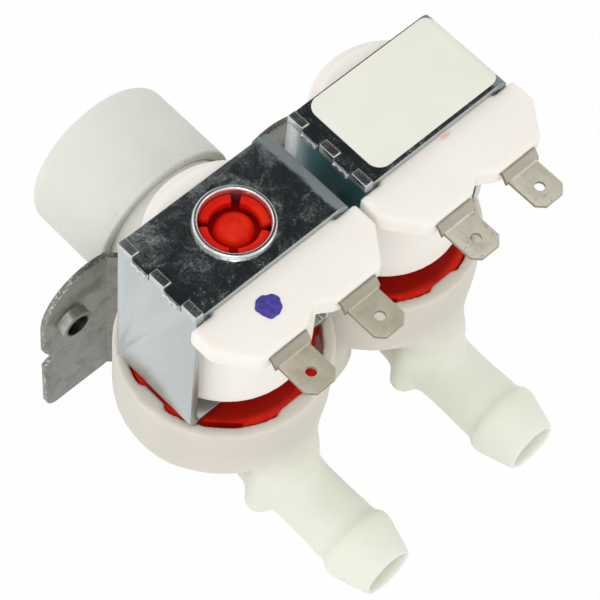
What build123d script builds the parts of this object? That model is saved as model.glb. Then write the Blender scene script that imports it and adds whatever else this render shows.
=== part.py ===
from build123d import *
import math
import os

# Twin solenoid inlet valve for a washing machine, in millimetres.
# X runs from the left valve to the right valve, Y from the hose tails back to the threaded inlet, Z up.
# The origin is on the inlet's axis, midway between the two bracket screws, in the bracket's mounting face.

# Layout of the two valves about the inlet
coil_setback = 30.0
middle_wall = 2.6

# Steel yoke, one strip folded round each coil and locked at its top left corner
yoke_width = 31.5
yoke_depth = 17.5
yoke_height = 33.6
yoke_sheet = 1.45
yoke_bend = 2.2
end_tooth = 3.3
tongue_width = 3.8
tooth_rise = 0.3
tongue_proud = 0.3
slot_spare = 0.4
joint_gap = 0.08
stake_radius = 1.0
stake_depth = 0.15

# Coil moulding, bobbin and winding
barrel_side_gap = 0.1
barrel_top_drop = 3.6
barrel_edge = 1.0
boss_inset = 1.8
block_overhang = 1.35
block_length = 10.85
block_side_length = 4.65
block_front_inset = 4.7
block_top_drop = 1.6
block_height = 8.4
block_corner = 2.2
block_round = 0.5
notch_half_width = 3.2
notch_depth = 2.0
notch_corner = 0.8
moulding_wall = 1.2
bobbin_bore = 6.6
bobbin_wall = 0.9
bobbin_flange = 1.2
part_gap = 0.05
winding_inset = 0.5

# Spade terminals
tab_width = 6.3
tab_thickness = 0.8
tab_centre = 7.2
tab_drop = 4.5
shoulder_length = 1.4
tab_length = 7.7
tab_tip_chamfer = 1.3
tab_hole_radius = 0.9
tab_hole_inset = 4.0
shoulder_width = 7.4
shoulder_rise = 1.5
root_length = 5.0

# Drawn pole sleeves in the yoke's two holes
sleeve_radius = 6.55
sleeve_wall = 0.5
sleeve_length = 12.0
sleeve_proud = {"left": 0.5, "right": 0.0}

# Bonnet: bayonet flange, guide tube and the ring of snap fingers at its top
bonnet_overhang = 0.25
bonnet_thickness = 3.2
bonnet_neck_radius = 9.0
bonnet_neck_height = 2.9
bonnet_notch_angle = 26.0
tube_gap = 0.1
post_radius = 4.45
post_drop = 2.9
nub_radius = 3.1
nub_top_radius = 1.1
nub_height = 2.6
nub_rim = 0.5
finger_wall = 1.25
finger_length = 9.0
finger_drop = 0.2
finger_slot = 1.2
finger_count = 4
lift_chamber_wall = 3.5
lift_chamber_height = 1.5
pilot_chamber_radius = 7.5
pilot_chamber_height = 4.3
guide_end_wall = 0.9

# Plunger with its seal and spring
plunger_radius = 3.55
plunger_lift = 2.8
plunger_chamfer = 0.5
running_gap = 0.06
closed_gap = 0.3
seal_radius = 1.8
seal_tip_length = 0.8
seal_pocket = 1.6
spring_bore_radius = 2.2
spring_bore_depth = 12.0
spring_wire = 0.5
spring_radius = 1.6
spring_turns = 5

# Diaphragm and its rigid insert
bead_height = 2.0
bead_width = 1.6
web_thickness = 0.7
web_rise = 1.2
hub_radius = 6.0
insert_hub_radius = 2.6
insert_flange_radius = 4.2
insert_flange = 1.0
insert_tail_radius = 3.9
insert_tail = 2.4
fin_thickness = 0.8
pilot_hole_radius = 0.5

# Body: bowls, collars, bayonet hooks and seats
collar_wall = 2.1
bowl_bottom = 5.3
bowl_edge = 3.2
bowl_floor = 2.0
collar_rise = 7.0
collar_gap = 0.3
shelf_width = 1.8
hook_reach = 1.0
hook_angle = 18.0
hook_height = 0.7
hook_count = 4
hook_gap = 0.1
seat_height = 14.5
seat_outer_radius = 5.8
seat_bore_radius = 4.4

# Body: hose tails
tail_level = -2.8
tail_radius = 6.1
tail_bore = 4.2
tail_reach = 42.0
barb_start = 33.2
barb_step = 0.5
barb_radius = 7.0
barb_land = 1.6
barb_taper_radius = 5.35
barb_taper_end = 40.8
tail_end_radius = 4.9
foot_setback = 16.0
foot_radius = 6.0
foot_edge = 2.6

# Body: gallery and inlet
inlet_radius = 13.22
inlet_end = 21.0
inlet_bore = 10.2
inlet_floor = 1.0
inlet_shoulder_radius = 15.2
inlet_shoulder_length = 2.0
throat_radius = 12.0
gallery_radius = 7.0
gallery_bore = 4.6
gallery_front = 9.5
gallery_edge = 2.4
gallery_end_wall = 2.5
port_radius = 1.6
port_inset = 1.2
port_wall = 1.1
port_block_depth = 8.0
snap_lug_radius = 14.3
snap_lug_width = 7.0
snap_lug_length = 1.4
snap_lug_count = 3

# Strainer and flow regulator inside the inlet
strainer_depth = 13.0
strainer_rim = 1.2
strainer_wall = 0.8
strainer_nose_radius = 6.0
strainer_slots = 12
strainer_slot_width = 1.4
strainer_slot_length = 7.0
regulator_thickness = 2.6
regulator_hole = 2.0
regulator_edge = 0.5

# Push-on cap over the inlet
cap_radius = 15.4
cap_gap = 0.08
cap_start = 3.3
cap_end = 22.7
cap_end_wall = 1.5
cap_edge = 2.0

# Mounting bracket
bracket_sheet = 1.2
bracket_joggle = 3.0
bracket_gap = 0.25
bracket_hole = 13.4
bracket_eye_radius = 16.4
ear_inner = 17.3
ear_outer = 32.3
ear_bottom = -26.0
ear_arc_centre_x = 21.3
ear_arc_centre_z = 1.2
ear_arc_radius = 10.9
ear_notch_top = -5.4
ear_notch_bottom = -10.8
ear_notch_tip_z = -9.5
ear_notch_tip_x = 30.1
ear_corner = 2.5
screw_offset = 26.2
screw_hole_radius = 2.15
screw_collar_radius = 3.15
screw_collar_length = 1.9

# Blank label on the right yoke and ink dot on the left terminal block
label_thickness = 0.12
label_left_inset = 3.35
label_right_inset = 0.55
label_edge_inset = 0.25
label_corner = 2.4
ink_radius = 2.05
ink_thickness = 0.1
ink_x = -5.4
ink_inset = 6.2

# Levels worked out from the sizes above
bonnet_radius = yoke_width / 2 + bonnet_overhang
lift_chamber_radius = bonnet_radius - lift_chamber_wall
collar_bore = bonnet_radius + collar_gap
bowl_radius = collar_bore + collar_wall
chamber_radius = collar_bore - shelf_width
valve_pitch = 2 * collar_bore + middle_wall
collar_top = seat_height + collar_rise
bonnet_top = collar_top - hook_height - hook_gap
bonnet_bottom = bonnet_top - bonnet_thickness
shelf_level = bonnet_bottom - bead_height
neck_top = bonnet_top + bonnet_neck_height
yoke_bottom = neck_top + closed_gap
yoke_top = yoke_bottom + yoke_height
window_top = yoke_top - yoke_sheet
window_bottom = yoke_bottom + yoke_sheet
barrel_top = yoke_top - barrel_top_drop
block_top = yoke_top - block_top_drop
barrel_radius = yoke_width / 2 - yoke_sheet - barrel_side_gap
boss_radius = barrel_radius - boss_inset
block_half_width = yoke_width / 2 + block_overhang
block_front_half = block_half_width - block_front_inset
block_front = yoke_depth / 2 + block_length
block_side_end = yoke_depth / 2 + block_side_length
tab_start = block_front + shoulder_length
tab_end = tab_start + tab_length
tab_hole_reach = tab_end - tab_hole_inset
tube_radius = sleeve_radius - sleeve_wall - tube_gap
post_top = yoke_top - post_drop
finger_top = yoke_top - finger_drop
finger_root = finger_top - finger_length
guide_bore = plunger_radius + running_gap
guide_end = post_top - guide_end_wall
hub_bottom = seat_height + closed_gap
web_bottom = hub_bottom + web_rise
web_top = web_bottom + web_thickness
insert_top = web_top + insert_flange
seal_tip = insert_top + closed_gap
plunger_bottom = seal_tip + seal_tip_length
plunger_top = guide_end - plunger_lift - closed_gap
tab_level = yoke_top - tab_drop
root_level = tab_level + shoulder_rise
plate_front = -bracket_sheet - bracket_joggle
plate_back = plate_front + bracket_sheet
body_face = plate_front - bracket_gap
label_left = label_left_inset - yoke_width / 2
label_right = yoke_width / 2 - label_right_inset
label_depth = yoke_depth - 2 * label_edge_inset
ink_y = ink_inset - block_front
port_offset = valve_pitch / 2 - chamber_radius + port_inset
valve_axes = {"left": -valve_pitch / 2, "right": valve_pitch / 2}


def level_plane(x, z):
    """Level plane centred on the coil axis at x."""
    return Plane(origin=(x, -coil_setback, z), x_dir=(1, 0, 0), z_dir=(0, 0, 1))


def front_plane(x, y):
    """Upright plane facing the hose tails, with X to the right and Z up."""
    return Plane(origin=(x, y, 0), x_dir=(1, 0, 0), z_dir=(0, -1, 0))


def side_plane(x):
    """Upright plane facing +X, with its own X along Y from the coil axis and its own Y up."""
    return Plane(origin=(x, -coil_setback, 0), x_dir=(0, 1, 0), z_dir=(1, 0, 0))


os.makedirs("parts", exist_ok=True)

for side, axis_x in valve_axes.items():
    coil_axis = Axis((axis_x, -coil_setback, 0), (0, 0, 1))
    yoke_back = front_plane(axis_x, -coil_setback + yoke_depth / 2)

    # Yoke: closed frame with three bends, then the toothed corner
    with BuildPart() as yoke_frame:
        with BuildSketch(yoke_back) as outline:
            with Locations((0, (yoke_top + yoke_bottom) / 2)):
                Rectangle(yoke_width, yoke_height)
            fillet(outline.vertices().group_by(Axis.X)[-1], yoke_bend)
            fillet(outline.vertices().group_by(Axis.X)[0].sort_by(Axis.Y)[0], yoke_bend)
        extrude(amount=yoke_depth)
        with BuildSketch(yoke_back) as window:
            with Locations((0, (window_top + window_bottom) / 2)):
                Rectangle(yoke_width - 2 * yoke_sheet, window_top - window_bottom)
            fillet(window.vertices(), yoke_bend - yoke_sheet)
        extrude(amount=yoke_depth, mode=Mode.SUBTRACT)
        middle_tooth = yoke_depth - 2 * end_tooth - 2 * tongue_width
        tooth_height = slot_spare + yoke_sheet + tooth_rise
        tongue_y = (middle_tooth + tongue_width) / 2
        end_tooth_y = (yoke_depth - end_tooth) / 2
        low = (Align.MIN, Align.CENTER, Align.MIN)
        with Locations((axis_x - yoke_width / 2, -coil_setback, window_top - slot_spare)):
            Box(yoke_sheet + joint_gap, yoke_depth, tooth_height, align=low, mode=Mode.SUBTRACT)
            Box(yoke_sheet, middle_tooth, tooth_height, align=low)
            with Locations((0, -end_tooth_y, 0), (0, end_tooth_y, 0)):
                Box(yoke_sheet, end_tooth, tooth_height, align=low)
            with Locations((-tongue_proud, -tongue_y, slot_spare), (-tongue_proud, tongue_y, slot_spare)):
                Box(yoke_sheet + joint_gap + tongue_proud, tongue_width - 2 * joint_gap, yoke_sheet, align=low)
        stake_plane = Plane(
            origin=(axis_x - yoke_width / 2 - tongue_proud, -coil_setback, yoke_top - yoke_sheet / 2),
            x_dir=(0, -1, 0),
            z_dir=(-1, 0, 0),
        )
        with BuildSketch(stake_plane):
            with Locations((-tongue_y, 0), (tongue_y, 0)):
                Rectangle(2 * stake_radius, yoke_sheet / 2)
        extrude(amount=-stake_depth, mode=Mode.SUBTRACT)
        with BuildSketch(level_plane(axis_x, yoke_bottom)):
            Circle(sleeve_radius + part_gap)
        extrude(amount=yoke_height, mode=Mode.SUBTRACT)
    yoke_frame.part.label = side + "_yoke_frame"
    export_step(yoke_frame.part, "parts/" + side + "_yoke_frame.step")

    # Coil moulding: barrel inside the yoke with the terminal block in front of it
    cavity_bottom = window_bottom + moulding_wall
    cavity_top = barrel_top - moulding_wall
    block_back = yoke_depth / 2 + part_gap
    with BuildPart() as coil_moulding:
        with BuildSketch(level_plane(axis_x, window_bottom)):
            Circle(barrel_radius)
        extrude(amount=barrel_top - window_bottom)
        fillet(coil_moulding.edges().filter_by(GeomType.CIRCLE), barrel_edge)
        with BuildSketch(level_plane(axis_x, barrel_top - barrel_edge)):
            Circle(boss_radius)
            with Locations((0, -boss_radius / 2)):
                Rectangle(2 * boss_radius, boss_radius)
        extrude(amount=block_top - barrel_top + barrel_edge)
        with BuildSketch(level_plane(axis_x, block_top - block_height)) as block_outline:
            with BuildLine():
                Polyline(
                    (-block_half_width, -block_back),
                    (-block_half_width, -block_side_end),
                    (-block_front_half, -block_front),
                    (-notch_half_width, -block_front),
                    (0, -block_front + notch_depth),
                    (notch_half_width, -block_front),
                    (block_front_half, -block_front),
                    (block_half_width, -block_side_end),
                    (block_half_width, -block_back),
                    close=True,
                )
            make_face()
            outer_corners = block_outline.vertices().group_by(Axis.X)
            fillet(outer_corners[0].sort_by(Axis.Y)[0], block_corner)
            fillet(outer_corners[-1].sort_by(Axis.Y)[0], block_corner)
            front_corners = block_outline.vertices().group_by(Axis.Y)[0].sort_by(Axis.X)
            fillet([front_corners[0], front_corners[-1]], block_corner)
            fillet(block_outline.vertices().group_by(Axis.Y)[0].sort_by(Axis.X)[1:-1], notch_corner)
        extrude(amount=block_height)
        fillet(coil_moulding.faces().sort_by(Axis.Z)[-1].outer_wire().edges(), block_round)
        with BuildSketch(level_plane(axis_x, cavity_bottom)):
            Circle(barrel_radius - moulding_wall)
        extrude(amount=cavity_top - cavity_bottom, mode=Mode.SUBTRACT)
        with BuildSketch(level_plane(axis_x, window_bottom)):
            Circle(bobbin_bore)
        extrude(amount=window_top - window_bottom, mode=Mode.SUBTRACT)
        with Locations((axis_x - tab_centre, -coil_setback - block_front, root_level),
                       (axis_x + tab_centre, -coil_setback - block_front, root_level)):
            Box(shoulder_width + 2 * part_gap, root_length, tab_thickness + 2 * part_gap,
                align=(Align.CENTER, Align.MIN, Align.CENTER), mode=Mode.SUBTRACT)
    coil_moulding.part.label = side + "_coil_moulding"
    export_step(coil_moulding.part, "parts/" + side + "_coil_moulding.step")

    # Bobbin: a spool revolved about the coil axis
    spool_bottom = cavity_bottom + part_gap
    spool_top = cavity_top - part_gap
    spool_radius = barrel_radius - moulding_wall - part_gap
    with BuildPart() as bobbin:
        with BuildSketch(front_plane(axis_x, -coil_setback)):
            with BuildLine():
                Polyline(
                    (bobbin_bore, spool_bottom),
                    (spool_radius, spool_bottom),
                    (spool_radius, spool_bottom + bobbin_flange),
                    (bobbin_bore + bobbin_wall, spool_bottom + bobbin_flange),
                    (bobbin_bore + bobbin_wall, spool_top - bobbin_flange),
                    (spool_radius, spool_top - bobbin_flange),
                    (spool_radius, spool_top),
                    (bobbin_bore, spool_top),
                    close=True,
                )
            make_face()
        revolve(axis=coil_axis)
    bobbin.part.label = side + "_bobbin"
    export_step(bobbin.part, "parts/" + side + "_bobbin.step")

    # Winding between the bobbin's flanges
    winding_bottom = spool_bottom + bobbin_flange + part_gap
    winding_top = spool_top - bobbin_flange - part_gap
    with BuildPart() as winding:
        with BuildSketch(level_plane(axis_x, winding_bottom)):
            Circle(spool_radius - winding_inset)
            Circle(bobbin_bore + bobbin_wall + part_gap, mode=Mode.SUBTRACT)
        extrude(amount=winding_top - winding_bottom)
    winding.part.label = side + "_winding"
    export_step(winding.part, "parts/" + side + "_winding.step")

    # Terminals: a stepped strip cut to the plan of shoulder, tab and hole
    half = tab_thickness / 2
    mitre = half * math.tan(math.radians(22.5))
    root_end = -block_front + root_length - part_gap
    for letter, tab_x in {"a": axis_x - tab_centre, "b": axis_x + tab_centre}.items():
        with BuildPart() as terminal:
            with BuildSketch(side_plane(tab_x - shoulder_width / 2)):
                with BuildLine():
                    Polyline(
                        (root_end, root_level + half),
                        (-block_front - 2 * mitre, root_level + half),
                        (-tab_start - mitre, tab_level + half),
                        (-tab_end, tab_level + half),
                        (-tab_end, tab_level - half),
                        (-tab_start + mitre, tab_level - half),
                        (-block_front, root_level - half),
                        (root_end, root_level - half),
                        close=True,
                    )
                make_face()
            extrude(amount=shoulder_width)
            with BuildSketch(level_plane(tab_x, tab_level - tab_thickness)) as plan:
                with Locations((0, root_end)):
                    Rectangle(tab_width, tab_end + root_end, align=(Align.CENTER, Align.MAX))
                chamfer(plan.vertices().group_by(Axis.Y)[0], tab_tip_chamfer)
                with Locations((0, root_end)):
                    Rectangle(shoulder_width, tab_start + root_end, align=(Align.CENTER, Align.MAX))
                with Locations((0, -tab_hole_reach)):
                    Circle(tab_hole_radius, mode=Mode.SUBTRACT)
            extrude(amount=shoulder_rise + 2 * tab_thickness, mode=Mode.INTERSECT)
        terminal.part.label = side + "_terminal_" + letter
        export_step(terminal.part, "parts/" + side + "_terminal_" + letter + ".step")

    # Pole sleeves in the yoke's top and bottom holes
    sleeve_starts = {"upper": yoke_top + sleeve_proud[side] - sleeve_length, "lower": yoke_bottom}
    for place, sleeve_start in sleeve_starts.items():
        with BuildPart() as pole_sleeve:
            with BuildSketch(level_plane(axis_x, sleeve_start)):
                Circle(sleeve_radius)
                Circle(sleeve_radius - sleeve_wall, mode=Mode.SUBTRACT)
            extrude(amount=sleeve_length)
        pole_sleeve.part.label = side + "_" + place + "_pole_sleeve"
        export_step(pole_sleeve.part, "parts/" + side + "_" + place + "_pole_sleeve.step")

    # Bonnet: revolved outside, then finger slots, bayonet notches and the chambers inside
    with BuildPart() as bonnet:
        with BuildSketch(front_plane(axis_x, -coil_setback)):
            with BuildLine():
                Polyline(
                    (0, post_top + nub_height),
                    (nub_top_radius, post_top + nub_height),
                    (nub_radius, post_top + nub_rim),
                    (nub_radius, post_top),
                    (post_radius, post_top),
                    (post_radius, finger_root),
                    (tube_radius - finger_wall, finger_root),
                    (tube_radius - finger_wall, finger_top),
                    (tube_radius, finger_top),
                    (tube_radius, neck_top),
                    (bonnet_neck_radius, neck_top),
                    (bonnet_neck_radius, bonnet_top),
                    (bonnet_radius, bonnet_top),
                    (bonnet_radius, bonnet_bottom),
                    (0, bonnet_bottom),
                    close=True,
                )
            make_face()
        revolve(axis=coil_axis)
        with BuildSketch(level_plane(axis_x, finger_root)):
            with PolarLocations((post_radius + tube_radius) / 2, finger_count, start_angle=45):
                Rectangle(tube_radius - post_radius + finger_wall, finger_slot)
            Circle(post_radius, mode=Mode.SUBTRACT)
        extrude(amount=finger_length, mode=Mode.SUBTRACT)
        with BuildSketch(level_plane(axis_x, bonnet_bottom)):
            with PolarLocations(bonnet_radius, hook_count, start_angle=180 / hook_count):
                Rectangle(2 * hook_reach, 2 * bonnet_radius * math.sin(math.radians(bonnet_notch_angle / 2)))
        extrude(amount=bonnet_thickness, mode=Mode.SUBTRACT)
        with BuildSketch(level_plane(axis_x, bonnet_bottom)):
            Circle(lift_chamber_radius)
        extrude(amount=lift_chamber_height, mode=Mode.SUBTRACT)
        with BuildSketch(level_plane(axis_x, bonnet_bottom)):
            Circle(pilot_chamber_radius)
        extrude(amount=pilot_chamber_height, mode=Mode.SUBTRACT)
        with BuildSketch(level_plane(axis_x, bonnet_bottom)):
            Circle(guide_bore)
        extrude(amount=guide_end - bonnet_bottom, mode=Mode.SUBTRACT)
    bonnet.part.label = side + "_bonnet"
    export_step(bonnet.part, "parts/" + side + "_bonnet.step")

    # Plunger: spring bore on top, seal pocket underneath
    with BuildPart() as plunger:
        with BuildSketch(level_plane(axis_x, plunger_bottom)):
            Circle(plunger_radius)
        extrude(amount=plunger_top - plunger_bottom)
        chamfer(plunger.edges().group_by(Axis.Z)[0], plunger_chamfer)
        with BuildSketch(level_plane(axis_x, plunger_top - spring_bore_depth)):
            Circle(spring_bore_radius)
        extrude(amount=spring_bore_depth, mode=Mode.SUBTRACT)
        with BuildSketch(level_plane(axis_x, plunger_bottom)):
            Circle(seal_radius)
        extrude(amount=seal_pocket, mode=Mode.SUBTRACT)
    plunger.part.label = side + "_plunger"
    export_step(plunger.part, "parts/" + side + "_plunger.step")

    # Rubber seal in the plunger's tip
    with BuildPart() as plunger_seal:
        with BuildSketch(level_plane(axis_x, seal_tip)):
            Circle(seal_radius)
        extrude(amount=seal_tip_length + seal_pocket)
    plunger_seal.part.label = side + "_plunger_seal"
    export_step(plunger_seal.part, "parts/" + side + "_plunger_seal.step")

    # Spring between the plunger's bore and the closed end of the guide tube
    spring_bottom = plunger_top - spring_bore_depth + spring_wire / 2
    spring_length = guide_end - spring_wire / 2 - spring_bottom
    with BuildPart() as plunger_spring:
        with BuildLine() as coil_line:
            Helix(pitch=spring_length / spring_turns, height=spring_length, radius=spring_radius,
                  center=(axis_x, -coil_setback, spring_bottom))
        with BuildSketch(Plane(origin=coil_line.line @ 0, z_dir=coil_line.line % 0)):
            RegularPolygon(spring_wire / 2, 6)
        sweep(path=coil_line.line, is_frenet=True)
    plunger_spring.part.label = side + "_plunger_spring"
    export_step(plunger_spring.part, "parts/" + side + "_plunger_spring.step")

    # Diaphragm: clamped bead, rolling web and the hub over the seat
    bead_outer = collar_bore - part_gap
    bead_inner = bead_outer - bead_width
    with BuildPart() as diaphragm:
        with BuildSketch(front_plane(axis_x, -coil_setback)):
            with BuildLine():
                Polyline(
                    (insert_hub_radius + part_gap, hub_bottom),
                    (hub_radius, hub_bottom),
                    (hub_radius + web_thickness, web_bottom),
                    (bead_inner, web_bottom),
                    (bead_inner, shelf_level),
                    (bead_outer, shelf_level),
                    (bead_outer, bonnet_bottom),
                    (bead_inner, bonnet_bottom),
                    (bead_inner, web_top),
                    (insert_hub_radius + part_gap, web_top),
                    close=True,
                )
            make_face()
        revolve(axis=coil_axis)
    diaphragm.part.label = side + "_diaphragm"
    export_step(diaphragm.part, "parts/" + side + "_diaphragm.step")

    # Diaphragm insert: pilot hole, flange and a finned tail in the seat's bore
    tail_bottom = hub_bottom - insert_tail
    with BuildPart() as diaphragm_insert:
        with BuildSketch(front_plane(axis_x, -coil_setback)):
            with BuildLine():
                Polyline(
                    (pilot_hole_radius, tail_bottom),
                    (insert_hub_radius, tail_bottom),
                    (insert_hub_radius, web_top),
                    (insert_flange_radius, web_top),
                    (insert_flange_radius, insert_top),
                    (pilot_hole_radius, insert_top),
                    close=True,
                )
            make_face()
        revolve(axis=coil_axis)
        with BuildSketch(level_plane(axis_x, tail_bottom)):
            Rectangle(2 * insert_tail_radius, fin_thickness)
            Rectangle(fin_thickness, 2 * insert_tail_radius)
            Circle(insert_hub_radius / 2, mode=Mode.SUBTRACT)
        extrude(amount=insert_tail)
    diaphragm_insert.part.label = side + "_diaphragm_insert"
    export_step(diaphragm_insert.part, "parts/" + side + "_diaphragm_insert.step")

# Foot under the front of each bowl, rounded at its bottom
with BuildPart() as tail_feet:
    for axis_x in valve_axes.values():
        with BuildSketch(level_plane(axis_x, tail_level - tail_radius)):
            with Locations((0, -foot_setback)):
                Circle(foot_radius)
        extrude(amount=tail_radius - tail_level + bowl_bottom + bowl_edge)
    fillet(tail_feet.edges().group_by(Axis.Z)[0], foot_edge)

# Closed front end of the gallery between the bowls
with BuildPart() as gallery:
    with BuildSketch(front_plane(0, body_face)):
        Circle(gallery_radius)
    extrude(amount=coil_setback + gallery_front + body_face)
    fillet(gallery.edges().group_by(Axis.Y)[0], gallery_edge)

# Body: one moulding with two bowls, hose tails, gallery and inlet
with BuildPart() as valve_body:
    for axis_x in valve_axes.values():
        with BuildSketch(level_plane(axis_x, bowl_bottom)):
            Circle(bowl_radius)
        extrude(amount=collar_top - bowl_bottom)
    fillet(valve_body.edges().group_by(Axis.Z)[0], bowl_edge)
    add(tail_feet.part)
    add(gallery.part)
    for axis_x in valve_axes.values():
        with BuildSketch(level_plane(axis_x, tail_level)):
            Circle(tail_radius)
        extrude(amount=bowl_bottom + bowl_floor - tail_level)
        with BuildSketch(side_plane(axis_x)):
            with BuildLine():
                Polyline(
                    (tail_radius, tail_level),
                    (tail_radius, tail_level + tail_radius),
                    (-barb_start, tail_level + tail_radius),
                    (-barb_start - barb_step, tail_level + barb_radius),
                    (-barb_start - barb_step - barb_land, tail_level + barb_radius),
                    (-barb_taper_end, tail_level + barb_taper_radius),
                    (-tail_reach, tail_level + tail_end_radius),
                    (-tail_reach, tail_level),
                    close=True,
                )
            make_face()
        revolve(axis=Axis((axis_x, -coil_setback, tail_level), (0, 1, 0)))
    with BuildSketch(level_plane(0, 0)):
        Rectangle(2 * (port_offset + port_radius + port_wall), port_block_depth)
    extrude(amount=bowl_bottom + bowl_floor / 2)
    with BuildSketch(front_plane(0, body_face)):
        Circle(inlet_shoulder_radius)
    extrude(amount=inlet_shoulder_length)
    with BuildSketch(front_plane(0, body_face)):
        Circle(throat_radius)
    extrude(amount=coil_setback - bowl_radius / 2 + body_face)
    with BuildSketch(front_plane(0, inlet_end)):
        Circle(inlet_radius)
    extrude(amount=inlet_end - body_face)
    with BuildSketch(front_plane(0, plate_back + bracket_gap + snap_lug_length)):
        with PolarLocations(inlet_bore, snap_lug_count, start_angle=90):
            Rectangle(2 * (snap_lug_radius - inlet_bore), snap_lug_width)
    extrude(amount=snap_lug_length)
    with BuildSketch(front_plane(0, inlet_end)):
        Circle(inlet_bore)
    extrude(amount=inlet_end - inlet_floor, mode=Mode.SUBTRACT)
    with BuildSketch(front_plane(0, inlet_floor)):
        Circle(gallery_bore)
    extrude(amount=inlet_floor + coil_setback + gallery_front - gallery_end_wall, mode=Mode.SUBTRACT)
    for axis_x in valve_axes.values():
        with BuildSketch(level_plane(axis_x, shelf_level)):
            Circle(collar_bore)
        extrude(amount=collar_top - shelf_level, mode=Mode.SUBTRACT)
        with BuildSketch(level_plane(axis_x, bowl_bottom + bowl_floor)):
            Circle(chamber_radius)
            Circle(seat_outer_radius, mode=Mode.SUBTRACT)
        extrude(amount=shelf_level - bowl_bottom - bowl_floor, mode=Mode.SUBTRACT)
        with BuildSketch(level_plane(axis_x, seat_height)):
            Circle(chamber_radius)
        extrude(amount=shelf_level - seat_height, mode=Mode.SUBTRACT)
        with BuildSketch(level_plane(axis_x, tail_level)):
            Circle(seat_bore_radius)
        extrude(amount=seat_height - tail_level, mode=Mode.SUBTRACT)
        with BuildSketch(front_plane(axis_x, -coil_setback)):
            with Locations((0, tail_level)):
                Circle(tail_bore)
        extrude(amount=tail_reach, mode=Mode.SUBTRACT)
        with BuildSketch(level_plane(math.copysign(port_offset, axis_x), 0)):
            Circle(port_radius)
        extrude(amount=bowl_bottom + 2 * bowl_floor, mode=Mode.SUBTRACT)
        with BuildSketch(side_plane(0)):
            Circle(port_radius)
        extrude(amount=math.copysign(port_offset, axis_x), mode=Mode.SUBTRACT)
        with BuildSketch(level_plane(axis_x, collar_top - hook_height)):
            with PolarLocations(collar_bore, hook_count):
                Rectangle(2 * hook_reach, 2 * collar_bore * math.sin(math.radians(hook_angle / 2)))
        extrude(amount=hook_height)
valve_body.part.label = "valve_body"
export_step(valve_body.part, "parts/valve_body.step")

# Inlet strainer: a basket with slots round its side
basket_front = inlet_end - strainer_depth
basket_back = inlet_end - closed_gap
basket_radius = inlet_bore - part_gap
with BuildPart() as inlet_strainer:
    with BuildSketch(Plane(origin=(0, 0, 0), x_dir=(0, 1, 0), z_dir=(1, 0, 0))):
        with BuildLine():
            Polyline(
                (basket_back, basket_radius),
                (basket_back - strainer_rim, basket_radius),
                (basket_front, strainer_nose_radius),
                (basket_front, 0),
                (basket_front + strainer_wall, 0),
                (basket_front + strainer_wall, strainer_nose_radius - strainer_wall),
                (basket_back - strainer_rim, basket_radius - 2 * strainer_wall),
                (basket_back, basket_radius - 2 * strainer_wall),
                close=True,
            )
        make_face()
    revolve(axis=Axis.Y)
    with Locations(Plane(origin=(0, (basket_front + basket_back) / 2, 0), x_dir=(1, 0, 0), z_dir=(0, -1, 0))):
        with PolarLocations(basket_radius, strainer_slots):
            Box(basket_radius, strainer_slot_width, strainer_slot_length, mode=Mode.SUBTRACT)
inlet_strainer.part.label = "inlet_strainer"
export_step(inlet_strainer.part, "parts/inlet_strainer.step")

# Flow regulator: a rubber washer on the inlet's floor
with BuildPart() as flow_regulator:
    with BuildSketch(front_plane(0, inlet_floor + regulator_thickness)):
        Circle(inlet_bore - part_gap)
        Circle(regulator_hole, mode=Mode.SUBTRACT)
    extrude(amount=regulator_thickness)
    chamfer(flow_regulator.edges().group_by(Axis.Y)[-1], regulator_edge)
flow_regulator.part.label = "flow_regulator"
export_step(flow_regulator.part, "parts/flow_regulator.step")

# Push-on cap, closed and rounded at its end
with BuildPart() as inlet_cap:
    with BuildSketch(front_plane(0, cap_end)):
        Circle(cap_radius)
    extrude(amount=cap_end - cap_start)
    fillet(inlet_cap.edges().group_by(Axis.Y)[-1], cap_edge)
    with BuildSketch(front_plane(0, cap_end - cap_end_wall)):
        Circle(inlet_radius + cap_gap)
    extrude(amount=cap_end - cap_end_wall - cap_start, mode=Mode.SUBTRACT)
inlet_cap.part.label = "inlet_cap"
export_step(inlet_cap.part, "parts/inlet_cap.step")

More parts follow.
